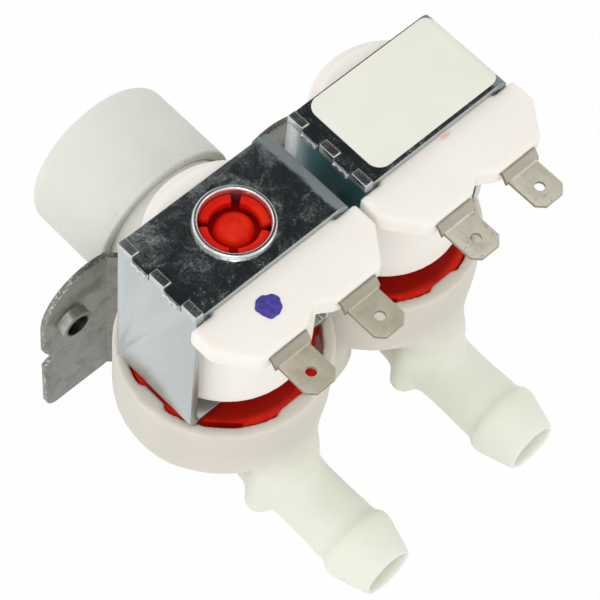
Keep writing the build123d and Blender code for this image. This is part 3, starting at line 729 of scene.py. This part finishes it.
class Wardrobe:
    """The finishes and the nodes that wear them."""

    def __init__(self) -> None:
        """Builds every finish once."""
        made = {
            "body": BodyNylon("natural_nylon", (0.66, 0.63, 0.55), 0.5, 3.0, 0.5, (0.70, 0.65, 0.59), 14.0, 0.12, 0.3),
            "cap": CapPolythene("cap_polythene", (0.76, 0.77, 0.70), 0.5, 2.0, 0.4, (0.78, 0.79, 0.73), 9.0, 0.12, 0.3),
            "bonnet": RedNylon("red_nylon", (0.68, 0.008, 0.002), 0.4, 0.8, 0.05, (0.76, 0.02, 0.003), 4.0, 0.12, 0.12),
            "coil": CoilResin("coil_resin", (0.93, 0.88, 0.81), 0.5, 1.0, 0.2, (0.94, 0.90, 0.84), 10.0, 0.12, 0.3),
            "zinc": ZincPlate("zinc_plate", (0.50, 0.535, 0.535), 0.15, 0.34, 0.85),
            "edge": ZincPlate("cut_edge", (0.62, 0.63, 0.62), 0.3, 0.1),
            "sleeve": ZincPlate("drawn_sleeve", (0.80, 0.80, 0.79), 0.26, 0.15),
            "bracket": WornSteel("dull_stainless", (0.24, 0.24, 0.21), 0.45),
            "tab": TinPlate("tinned_tab", (0.60, 0.54, 0.42), 0.5, 0.3),
            "old_tab": TinPlate("tarnished_tab", (0.74, 0.69, 0.57), 0.5, 0.4, 0.7),
            "label": LabelFilm("label_film", (0.87, 0.87, 0.77), 0.4),
            "ink": MarkerInk("marker_ink", (0.085, 0.06, 0.40), 0.45),
            "rubber": Finish("black_rubber", (0.05, 0.05, 0.05), 0.6),
            "pale_rubber": Finish("pale_rubber", (0.62, 0.5, 0.42), 0.6),
            "inner": Finish("inner_plastic", (0.78, 0.79, 0.76), 0.45),
            "steel": WornSteel("turned_steel", (0.6, 0.6, 0.59), 0.3),
            "wire": WoundCopper("enamelled_wire", (0.72, 0.36, 0.16), 0.3),
        }
        self.finishes = {key: finish.build() for key, finish in made.items()}
        self.worn: dict[str, str] = {
            "valve_body": "body", "inlet_cap": "cap", "inlet_strainer": "inner", "flow_regulator": "rubber",
            "mounting_bracket": "bracket", "rating_label": "label", "ink_mark": "ink", "bonnet": "bonnet",
            "plunger": "steel", "plunger_seal": "rubber", "plunger_spring": "steel", "diaphragm": "pale_rubber",
            "diaphragm_insert": "inner", "coil_moulding": "coil", "bobbin": "inner", "winding": "wire",
            "yoke_frame": "zinc", "upper_pole_sleeve": "sleeve", "lower_pole_sleeve": "sleeve",
            "terminal_a": "tab", "terminal_b": "tab",
        }

    def dress(self, nodes: dict[str, bpy.types.Object]) -> None:
        """Puts each CAD node into its finish.

        Args:
            nodes: the frame's nodes by name.
        """
        for name, node in nodes.items():
            plain = name.removeprefix("left_").removeprefix("right_")
            key = self.worn[plain]
            if name.startswith("right_terminal"):
                key = "old_tab"
            if not node.material_slots:
                node.data.materials.append(None)
            for place in node.material_slots:
                place.material = self.finishes[key]
            LOG.info("%s wears %s", name, key)


class Bench:
    """Shared ways of making the fine pieces from the frame's solids."""

    def __init__(self, nodes: dict[str, bpy.types.Object], finishes: dict[str, bpy.types.Material]) -> None:
        """Keeps the frame's nodes and the finishes at hand.

        Args:
            nodes: the frame's nodes by name.
            finishes: the materials by key.
        """
        self.nodes = nodes
        self.finishes = finishes

    def merged(self, node: str) -> bmesh.types.BMesh:
        """A joined-up copy of a CAD node's loose triangles.

        Args:
            node: the node's name.

        Returns:
            The copy, with flat faces put together again.
        """
        copy = bmesh.new()
        copy.from_mesh(self.nodes[node].data)
        bmesh.ops.remove_doubles(copy, verts=copy.verts, dist=1e-6)
        return copy

    def finish(self, name: str, shape: bmesh.types.BMesh, key: str, body: str = "housing") -> bpy.types.Object:
        """Turns a shape into a piece of the object.

        Args:
            name: the piece's name.
            shape: its geometry, which is used up.
            key: the finish it wears.
            body: the body it rides on.

        Returns:
            The new object.
        """
        mesh = bpy.data.meshes.new(name)
        shape.to_mesh(mesh)
        shape.free()
        piece = placed(name, mesh)
        mesh.materials.append(self.finishes[key])
        mesh.shade_smooth()
        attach(piece, body)
        LOG.info("%s rides on %s", name, body)
        return piece

    def bake(self, piece: bpy.types.Object) -> None:
        """Applies every modifier on a piece and keeps the result as its mesh."""
        graph = bpy.context.evaluated_depsgraph_get()
        mesh = bpy.data.meshes.new_from_object(piece.evaluated_get(graph))
        piece.modifiers.clear()
        piece.data = mesh

    def eased(self, node: str, width_mm: float, key: str, rule: Optional[Rule] = None,
              below_mm: Optional[float] = None) -> None:
        """Copies a node with its sharp edges rounded, and lets the copy stand for it.

        Args:
            node: the node's name.
            width_mm: the width of the rounding.
            key: the finish it wears.
            rule: moves each corner to where the photograph has it, in millimetres.
            below_mm: height above which the copy is cut off.
        """
        shape = self.merged(node)
        if below_mm is not None:
            self.sliced(shape, below_mm, UP, True)
        self.moved(shape, rule)
        bmesh.ops.dissolve_limit(shape, angle_limit=math.radians(0.6), verts=shape.verts, edges=shape.edges)
        piece = self.finish(node + "_eased", shape, key)
        bevel = piece.modifiers.new("round", "BEVEL")
        bevel.width = width_mm * MM
        bevel.segments = 2
        bevel.limit_method = "ANGLE"
        bevel.angle_limit = math.radians(28)
        bevel.use_clamp_overlap = True
        bevel.harden_normals = True
        self.bake(piece)
        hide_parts(node)

    def sliced(self, shape: bmesh.types.BMesh, height_mm: float, axis: Vector, clear: bool = False) -> None:
        """Draws a plane's line round a shape, and clears what lies beyond it if asked.

        Args:
            shape: the shape.
            height_mm: the plane's place along the axis.
            axis: the direction the plane faces.
            clear: whether what lies beyond goes.
        """
        everything = shape.verts[:] + shape.edges[:] + shape.faces[:]
        spot = axis * (height_mm * MM)
        bmesh.ops.bisect_plane(shape, geom=everything, plane_co=spot, plane_no=axis, clear_outer=clear)

    def moved(self, shape: bmesh.types.BMesh, rule: Optional[Rule]) -> None:
        """Moves a shape's corners by a rule that takes places in millimetres."""
        if rule is None:
            return
        for vert in shape.verts:
            place = vert.co / MM
            rule(place)
            vert.co = place * MM

    def recast(self, node: str, grain_mm: float, passes: int, key: str, rule: Optional[Rule] = None,
               cuts: Sequence[float] = (), extra: Sequence[bmesh.types.BMesh] = ()) -> bpy.types.Object:
        """A copy of a node with the soft corners of a moulding, which then stands for it.

        Args:
            node: the node's name.
            grain_mm: the size of its faces.
            passes: how often it is smoothed.
            key: the finish it wears.
            rule: moves each corner to where the photograph has it, in millimetres.
            cuts: places along Y where the surface gets a line of corners first, in millimetres.
            extra: closed shapes that are cast in one with it.

        Returns:
            The new object.
        """
        shape = self.merged(node)
        for cut in cuts:
            self.sliced(shape, cut, ALONG)
        self.moved(shape, rule)
        for more in extra:
            passing = bpy.data.meshes.new("passing")
            more.to_mesh(passing)
            more.free()
            shape.from_mesh(passing)
            bpy.data.meshes.remove(passing)
        piece = self.finish(node + "_recast", shape, key)
        remesh = piece.modifiers.new("recast", "REMESH")
        remesh.mode = "VOXEL"
        remesh.voxel_size = grain_mm * MM
        remesh.use_smooth_shade = True
        self.relaxed(piece, passes)
        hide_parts(node)
        return piece

    def relaxed(self, piece: bpy.types.Object, rounds: int, group: str = "") -> None:
        """Smooths a piece, or the part of it in a group, so many times over."""
        smooth = piece.modifiers.new("relax", "SMOOTH")
        smooth.factor = 0.5
        smooth.iterations = rounds
        smooth.vertex_group = group
        self.bake(piece)

    def soften(self, piece: bpy.types.Object, rounds: int, where: Callable[[Vector], float]) -> None:
        """Smooths one part of a piece further.

        Args:
            piece: the piece.
            rounds: how often it is smoothed.
            where: weight from 0 to 1 at a place, in millimetres.
        """
        group = piece.vertex_groups.new(name="soft")
        for vert in piece.data.vertices:
            weight = where(vert.co / MM)
            if weight > 0:
                group.add([vert.index], weight, "REPLACE")
        self.relaxed(piece, rounds, group.name)
        piece.vertex_groups.clear()

    def rule_group(self, name: str, links: Callable[["Layout"], bpy.types.NodeSocket]) -> bpy.types.NodeTree:
        """Makes a geometry group that ends in real geometry with a material.

        Args:
            name: the group's name.
            links: lays the nodes out and gives the geometry they end in.

        Returns:
            The group.
        """
        layout = Layout(name)
        made = links(layout)
        real = layout.node("GeometryNodeRealizeInstances", {}, {0: made})
        dressed = layout.node("GeometryNodeSetMaterial", {}, {0: real, "Material": layout.given("Material")})
        layout.feed(layout.end.inputs[0], dressed)
        return layout.tree

    def grown(self, name: str, start: Optional[bmesh.types.BMesh], group: bpy.types.NodeTree,
              values: dict[str, Any], key: str) -> bpy.types.Object:
        """Runs a geometry group and keeps its result as a piece.

        Args:
            name: the piece's name.
            start: the shape that the group repeats, or nothing.
            group: the geometry group.
            values: its inputs by name.
            key: the finish the piece wears.

        Returns:
            The new object.
        """
        seed = bpy.data.meshes.new(name + "_seed")
        if start is not None:
            start.to_mesh(seed)
            start.free()
        carrier = placed(name + "_seed", seed)
        modifier = carrier.modifiers.new("grow", "NODES")
        modifier.node_group = group
        names = {item.name: item.identifier for item in group.interface.items_tree if item.in_out == "INPUT"}
        for label, value in {**values, "Material": self.finishes[key]}.items():
            modifier[names[label]] = value
        graph = bpy.context.evaluated_depsgraph_get()
        grown = bpy.data.meshes.new_from_object(carrier.evaluated_get(graph))
        bpy.data.objects.remove(carrier)
        grown.name = name
        shape = bmesh.new()
        shape.from_mesh(grown)
        bmesh.ops.recalc_face_normals(shape, faces=shape.faces)
        return self.finish(name, shape, key)


class Layout(Nodes):
    """The nodes of one geometry group."""

    KINDS = {"Int": ("Count",), "Vector": ("Step", "Shift", "Tilt"), "Material": ("Material",),
             "Float": ("Turn", "Radius", "Height", "Turns", "Wire")}

    def __init__(self, name: str) -> None:
        """Starts an empty group with a geometry input and output.

        Args:
            name: the group's name.
        """
        super().__init__(bpy.data.node_groups.new(name, "GeometryNodeTree"))
        sockets = self.tree.interface
        for way in ("INPUT", "OUTPUT"):
            sockets.new_socket("Geometry", in_out=way, socket_type="NodeSocketGeometry")
        for kind, labels in self.KINDS.items():
            for label in labels:
                sockets.new_socket(label, in_out="INPUT", socket_type="NodeSocket" + kind)
        self.start = self.tree.nodes.new("NodeGroupInput")
        self.end = self.tree.nodes.new("NodeGroupOutput")

    def given(self, name: str) -> bpy.types.NodeSocket:
        """One of the group's inputs."""
        return self.start.outputs[name]


def repeated(layout: Layout) -> bpy.types.NodeSocket:
    """Repeats the given shape in steps, each turned further about Z, and shifts the whole.

    Args:
        layout: the group's layout.

    Returns:
        The repeated geometry.
    """
    index = layout.node("GeometryNodeInputIndex", {}, {})
    turn = layout.node("ShaderNodeMath", {"operation": "MULTIPLY"}, {0: index, 1: layout.given("Turn")})
    spin = layout.node("ShaderNodeCombineXYZ", {}, {"Z": turn})
    line = layout.node("GeometryNodeMeshLine", {}, {"Count": layout.given("Count"), "Offset": layout.given("Step")})
    placed = layout.node("GeometryNodeInstanceOnPoints", {},
                         {"Points": line, "Instance": layout.given("Geometry"), "Rotation": spin})
    return layout.node("GeometryNodeTransform", {}, {"Geometry": placed, "Translation": layout.given("Shift")})


def helix(layout: Layout) -> bpy.types.NodeSocket:
    """A round wire that climbs about an axis, tilted and shifted as a whole.

    Args:
        layout: the group's layout.

    Returns:
        The helix.
    """
    spiral = layout.node("GeometryNodeCurveSpiral", {}, {
        "Resolution": 64, "Rotations": layout.given("Turns"), "Start Radius": layout.given("Radius"),
        "End Radius": layout.given("Radius"), "Height": layout.given("Height")})
    section = layout.node("GeometryNodeCurvePrimitiveCircle", {"mode": "RADIUS"},
                          {"Resolution": 10, "Radius": layout.given("Wire")})
    wire = layout.node("GeometryNodeCurveToMesh", {}, {"Curve": spiral, "Profile Curve": section, "Fill Caps": True})
    return layout.node("GeometryNodeTransform", {}, {
        "Geometry": wire, "Translation": layout.given("Shift"), "Rotation": layout.given("Tilt")})


def swept(profile: Outline, start: float, end: float, steps: int) -> bmesh.types.BMesh:
    """Sweeps a closed profile part of the way round Z.

    Args:
        profile: points as (radius, height), in millimetres.
        start: first angle, in degrees.
        end: last angle, in degrees.
        steps: segments along the way.

    Returns:
        The closed shape.
    """
    shape = bmesh.new()
    rings = []
    for i in range(steps + 1):
        angle = math.radians(start + (end - start) * i / steps)
        rings.append([shape.verts.new(Vector((r * math.cos(angle), r * math.sin(angle), h)) * MM) for r, h in profile])
    count = len(profile)
    for low, high in zip(rings, rings[1:]):
        for i in range(count):
            j = (i + 1) % count
            shape.faces.new((low[i], low[j], high[j], high[i]))
    shape.faces.new(rings[0])
    shape.faces.new(list(reversed(rings[-1])))
    bmesh.ops.recalc_face_normals(shape, faces=shape.faces)
    return shape


def block(size: tuple[float, float, float], middle: tuple[float, float, float], ease: float) -> bmesh.types.BMesh:
    """A box with rounded edges.

    Args:
        size: its three sides, in millimetres.
        middle: its centre, in millimetres.
        ease: the rounding's width.

    Returns:
        The box.
    """
    shape = bmesh.new()
    bmesh.ops.create_cube(shape, size=1.0)
    for vert in shape.verts:
        vert.co = Vector(c * s + m for c, s, m in zip(vert.co, size, middle)) * MM
    bmesh.ops.bevel(shape, geom=shape.edges[:], offset=ease * MM, segments=2, profile=0.5, affect="EDGES")
    return shape


def revolved(profile: Outline, middle: Vector, axis: Vector = UP, steps: int = 96,
             closed: bool = True) -> bmesh.types.BMesh:
    """Turns a profile about an axis.

    Args:
        profile: points as (radius, height), in millimetres.
        middle: the axis's foot, in metres.
        axis: the axis's direction.
        steps: segments round the axis.
        closed: whether the profile's last point joins its first.

    Returns:
        The turned shape with its faces outwards.
    """
    shape = bmesh.new()
    turn = axis.normalized().to_track_quat("Z", "Y").to_matrix().to_4x4()
    rings = []
    for radius, height in profile:
        if radius < 1e-6:
            rings.append([shape.verts.new(middle + (turn @ Vector((0, 0, height * MM))))] * steps)
            continue
        ring = []
        for i in range(steps):
            angle = 2 * math.pi * i / steps
            spot = Vector((radius * MM * math.cos(angle), radius * MM * math.sin(angle), height * MM))
            ring.append(shape.verts.new(middle + (turn @ spot)))
        rings.append(ring)
    pairs = list(zip(rings, rings[1:] + rings[:1])) if closed else list(zip(rings, rings[1:]))
    for low, high in pairs:
        for i in range(steps):
            j = (i + 1) % steps
            corners = []
            for vert in (low[i], low[j], high[j], high[i]):
                if vert not in corners:
                    corners.append(vert)
            if len(corners) > 2:
                shape.faces.new(corners)
    bmesh.ops.recalc_face_normals(shape, faces=shape.faces)
    return shape


@dataclass
class Body:
    """The nylon body and the cap on its inlet. Sizes are in millimetres.

    Args:
        bench: the shared bench.
        coiled: the geometry group that winds a wire.
        grain: the size of the body's faces.
        barrel_start: where the inlet's barrel leaves its shoulder, along Y.
        barrel_skin: radius beyond which a corner lies on the barrel's outside.
        root: radius at the root of the inlet's thread.
        thread_start: where the thread starts along Y.
        thread_length: how far it goes.
        thread_turns: how often it winds round.
        thread_radius: from the axis to the middle of its rib.
        rib: the rib's radius.
        weld_span: where the foot of the tails lies along Y.
        weld_top: its height.
        stub_offset: how far each tail's stub stands to its left.
        stub_y: the stubs' place along Y.
        cap_radius: the cap's outside radius.
        cap_bore: its inside radius.
        cap_span: where it starts and ends along Y.
        cap_corner: the rounding of its closed end.
    """

    bench: Bench
    coiled: bpy.types.NodeTree
    grain: float = 0.58
    barrel_start: float = 4.6
    barrel_skin: float = 12.9
    root: float = 12.3
    thread_start: float = 6.6
    thread_length: float = 13.0
    thread_turns: float = 7.2
    thread_radius: float = 12.5
    rib: float = 0.72
    weld_span: tuple[float, float] = (-60.0, -36.0)
    weld_top: float = 12.0
    stub_offset: float = -5.2
    stub_y: float = -46.0
    cap_radius: float = 15.4
    cap_bore: float = 13.3
    cap_span: tuple[float, float] = (3.3, 22.7)
    cap_corner: float = 2.0

    def barrel(self, place: Vector) -> None:
        """Narrows the inlet's barrel to the root of its thread."""
        reach = math.hypot(place.x, place.z)
        if place.y > self.barrel_start and reach > self.barrel_skin:
            place.x *= self.root / reach
            place.z *= self.root / reach

    def moulding(self) -> None:
        """The body with softened corners and a round stub beside each hose tail."""
        stub = [(0.0, 3.0), (2.5, 3.0), (2.5, -8.0), (2.0, -8.9), (1.0, -9.4), (0.0, -9.4)]
        feet = [Vector((side.value * AXIS_X + self.stub_offset, self.stub_y, 0.0)) * MM for side in Side]
        stubs = [revolved(stub, foot, UP, 32, False) for foot in feet]
        lines = (self.barrel_start - 0.2, self.barrel_start + 0.3)
        piece = self.bench.recast("valve_body", self.grain, 5, "body", self.barrel, lines, stubs)
        self.bench.soften(piece, 70, self.junction)

    def junction(self, place: Vector) -> float:
        """Weight of the smoothing where a bowl, its foot and its tail meet."""
        front, back = self.weld_span
        near = held((place.y - front) / 3.0) * held((back - place.y) / 3.0) * held((self.weld_top - place.z) / 4.0)
        stub = min(math.hypot(place.x - side.value * AXIS_X - self.stub_offset, place.y - self.stub_y) for side in Side)
        return near * (0.15 if stub < 3.2 and place.z < -4.0 else 1.0)

    def thread(self) -> None:
        """The inlet's thread under the cap."""
        coil = {"Radius": self.thread_radius * MM, "Height": self.thread_length * MM, "Turns": self.thread_turns}
        place = {"Tilt": (math.radians(-90), 0.0, 0.0), "Shift": tuple(ALONG * self.thread_start * MM)}
        self.bench.grown("inlet_thread", None, self.coiled, {**coil, **place, "Wire": self.rib * MM}, "body")

    def cap(self) -> None:
        """The cap, turned, with a rounded rim and end."""
        start, end = self.cap_span
        outer, bore, corner, steps = self.cap_radius, self.cap_bore, self.cap_corner, 8
        profile = [(bore, start + 0.3), (bore + 0.25, start), (outer - 0.4, start), (outer - 0.1, start + 0.12),
                   (outer, start + 0.45)]
        for angle in (math.radians(90 * i / steps) for i in range(steps + 1)):
            profile.append((outer + corner * (math.cos(angle) - 1), end + corner * (math.sin(angle) - 1)))
        profile += [(0.0, end), (0.0, end - 1.5), (bore - 0.6, end - 1.5), (bore, end - 2.1)]
        piece = self.bench.finish("inlet_cap_turned", revolved(profile, Vector(), ALONG, 144), "cap", "cap_body")
        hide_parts("inlet_cap")

    def build(self) -> None:
        """Makes the body, its thread and the cap."""
        self.moulding()
        self.thread()
        self.cap()


@dataclass
class Head:
    """The coil, yoke, terminals and bonnet of one valve. Sizes are in millimetres.

    Args:
        bench: the shared bench.
        side: which valve.
        repeat: the geometry group that repeats a shape.
        coiled: the geometry group that winds a wire.
        tooth_pitch: from one of the yoke's teeth to the next.
        neck: height where the bonnet and its sleeve are cut for the crown.
        block_bottom: height of the terminal block's underside at its front.
        block_slope: its height at the barrel.
        barrel_reach: radius within which the coil's corners belong to the barrel.
        yoke_middle: height below which the yoke's corners move down.
        bonnet_top: height of the bonnet's flange.
        bonnet_step: height of the step above it, in the solid.
        step_reach: radius beyond which that step goes.
        tab_root: where the terminals' free part starts, in front of the valve's axis.
        tab_trim: how much shorter the terminals are than stock ones.
        spring_top: height of the spring's upper end.
        spring_length: its length at rest.
        spring_radius: from its axis to the middle of its wire.
        wire: the wire's radius.
        lift: how far the plunger rises.
    """

    bench: Bench
    side: Side
    repeat: bpy.types.NodeTree
    coiled: bpy.types.NodeTree
    tooth_pitch: float = 7.1
    neck: float = 54.0
    block_bottom: float = 47.5
    block_slope: float = 52.4
    barrel_reach: float = 14.3
    yoke_middle: float = 40.0
    bonnet_top: float = 21.4
    bonnet_step: float = 24.0
    step_reach: float = 7.0
    tab_root: float = 27.0
    tab_trim: float = 0.7
    spring_top: float = 53.7
    spring_length: float = 15.1
    spring_radius: float = 1.6
    wire: float = 0.25
    lift: float = 2.8

    @property
    def axis(self) -> Vector:
        """The foot of the valve's axis."""
        return Vector((self.side.value * AXIS_X, AXIS_Y, 0.0))

    def named(self, part: str) -> str:
        """The name of one of this valve's parts."""
        return f"{self.side.word}_{part}"

    def copies(self, part: str, shape: bmesh.types.BMesh, count: int, step: float, turn: float, key: str) -> None:
        """Repeats a shape about this valve's axis.

        Args:
            part: the piece's name without the valve's.
            shape: what is repeated.
            count: how often.
            step: the distance between two along Y.
            turn: the angle between two about the axis, in radians.
            key: the finish they wear.
        """
        values = {"Count": count, "Step": tuple(ALONG * step * MM), "Turn": turn, "Shift": tuple(self.axis * MM)}
        self.bench.grown(self.named(part), shape, self.repeat, values, key)

    def coil(self) -> None:
        """The coil moulding, with the block's underside sloping down to the barrel, and the foot below it."""
        def slope(place: Vector) -> None:
            if abs(place.z - self.block_bottom) < 0.05 and (place - self.axis).xy.length > self.barrel_reach:
                place.z = self.block_slope

        foot = revolved([(6.6, 26.0), (9.0, 26.0), (9.0, 23.2), (6.6, 23.2)], self.axis * MM, UP, 64)
        self.bench.recast(self.named("coil_moulding"), 0.4, 4, "coil", slope, (), [foot])

    def yoke(self) -> None:
        """The yoke at its full height, its teeth and the crushed tongues between them."""
        def lengthen(place: Vector) -> None:
            if place.z < self.yoke_middle:
                place.z -= YOKE_DROP

        self.bench.eased(self.named("yoke_frame"), 0.16, "zinc", lengthen)
        tooth = block((1.6, 3.25, 1.7), (-YOKE_HALF + 0.6, -self.tooth_pitch, YOKE_TOP - 0.38), 0.16)
        self.copies("teeth", tooth, 3, self.tooth_pitch, 0.0, "edge")
        tongue = block((1.0, 3.3, 1.15), (-YOKE_HALF - 0.05, -self.tooth_pitch / 2, YOKE_TOP - 0.75), 0.3)
        bmesh.ops.subdivide_edges(tongue, edges=tongue.edges[:], cuts=3, use_grid_fill=True)
        for vert in tongue.verts:
            wave = vert.co * 2600
            vert.co.x -= (0.16 + 0.2 * math.sin(wave.y * 1.7 + 1.0) * math.cos(wave.z)) * MM
            vert.co.z += 0.14 * math.sin(wave.y * 2.3 + 0.4) * MM
        self.copies("tongues", tongue, 2, self.tooth_pitch, 0.0, "edge")

    def crown(self) -> None:
        """The bonnet cut off below its crown, and the crown's four arcs and dome."""
        def shoulder(place: Vector) -> None:
            far = (place - self.axis).xy.length > self.step_reach
            if far and self.bonnet_top < place.z < self.bonnet_step:
                place.z = self.bonnet_top

        self.bench.eased(self.named("bonnet"), 0.18, "bonnet", shoulder, self.neck)
        arc = [(5.62, 53.0), (5.62, 56.6), (5.45, 56.95), (5.1, 57.0), (4.5, 57.0), (4.15, 56.85), (4.05, 56.5),
               (4.05, 53.0)]
        self.copies("crown", swept(arc, 54.0, 126.0, 16), 4, 0.0, math.radians(90), "bonnet")
        dome = [(5.64, 53.0), (5.64, 54.6), (3.25, 54.6), (3.15, 55.4), (2.9, 56.0), (2.3, 56.6), (1.5, 56.95),
                (0.75, 57.05), (0.7, 57.25), (0.3, 57.3), (0.0, 57.2)]
        self.bench.finish(self.named("dome"), revolved(dome, self.axis * MM, UP, 64, False), "bonnet")

    def sleeve(self) -> None:
        """The upper sleeve and its rounded rim, which stands a little proud on the left."""
        top = YOKE_TOP + (0.7 if self.side is Side.LEFT else 0.0)
        rim = [(5.66, self.neck), (5.66, top - 0.35), (5.8, top - 0.08), (6.05, top), (6.3, top - 0.04),
               (6.5, top - 0.22), (6.58, top - 0.5), (6.58, self.neck)]
        self.bench.finish(self.named("sleeve_rim"), revolved(rim, self.axis * MM), "sleeve")
        self.bench.eased(self.named("upper_pole_sleeve"), 0.12, "sleeve", None, self.neck)

    def terminals(self) -> None:
        """The two spade terminals, a little shorter than stock ones."""
        def trim(place: Vector) -> None:
            if place.y < AXIS_Y - self.tab_root:
                place.y += self.tab_trim

        key = "tab" if self.side is Side.LEFT else "old_tab"
        for letter in "ab":
            self.bench.eased(self.named("terminal_" + letter), 0.09, key, trim)

    def spring(self) -> None:
        """The plunger's spring."""
        gap = 0.05
        top = self.axis + UP * self.spring_top
        foot = top - UP * (self.spring_length - self.wire - gap)
        values = {"Radius": self.spring_radius * MM, "Height": (self.spring_length - 2 * (self.wire + gap)) * MM,
                  "Turns": 8.0, "Wire": self.wire * MM, "Tilt": (0.0, 0.0, 0.0), "Shift": tuple(foot * MM)}
        piece = self.bench.grown(self.named("spring_wound"), None, self.coiled, values, "steel")
        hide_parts(self.named("plunger_spring"))
        keep = 1 - self.lift / self.spring_length
        tuple(top * MM)
        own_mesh(piece)

    def build(self) -> None:
        """Makes this valve's fine pieces."""
        self.coil()
        self.yoke()
        self.crown()
        self.sleeve()
        self.terminals()
        self.spring()


@dataclass
class Trim:
    """The bracket, the bare label and the ink dot. Sizes are in millimetres.

    Args:
        bench: the shared bench.
        label_back: how much further back the label's front edge lies.
        dot: the ink dot's centre.
    """

    bench: Bench
    label_back: float = 0.5
    dot: tuple[float, float] = (-23.0, -43.4)

    def build(self) -> None:
        """Makes the three pieces."""
        def back(place: Vector) -> None:
            if place.y < AXIS_Y - 4.0:
                place.y += self.label_back

        def ragged(place: Vector) -> None:
            middle = Vector((*self.dot, place.z))
            out = place - middle
            angle = math.atan2(out.y, out.x)
            swell = 1 + 0.05 * math.sin(3 * angle + 1.0) + 0.04 * math.sin(5 * angle) + 0.03 * math.sin(9 * angle + 2.0)
            place.xy = (middle + out * swell).xy

        self.bench.eased("mounting_bracket", 0.2, "bracket")
        self.bench.eased("rating_label", 0.04, "label", back)
        self.bench.eased("ink_mark", 0.03, "ink", ragged)


def main() -> None:
    """Dresses the frame, adds the fine pieces, the light and the camera."""
    logging.basicConfig(level=logging.INFO)
    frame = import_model()
    cad_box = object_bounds()
    wardrobe = Wardrobe()
    wardrobe.dress(frame["nodes"])
    bench = Bench(frame["nodes"], wardrobe.finishes)
    repeat = bench.rule_group("repeated", repeated)
    coiled = bench.rule_group("helix", helix)
    Body(bench, coiled).build()
    for side in Side:
        Head(bench, side, repeat, coiled).build()
    Trim(bench).build()
    Studio(floor_level=cad_box[0][2] - 0.0005).build()


if __name__ == "__main__":
    main()
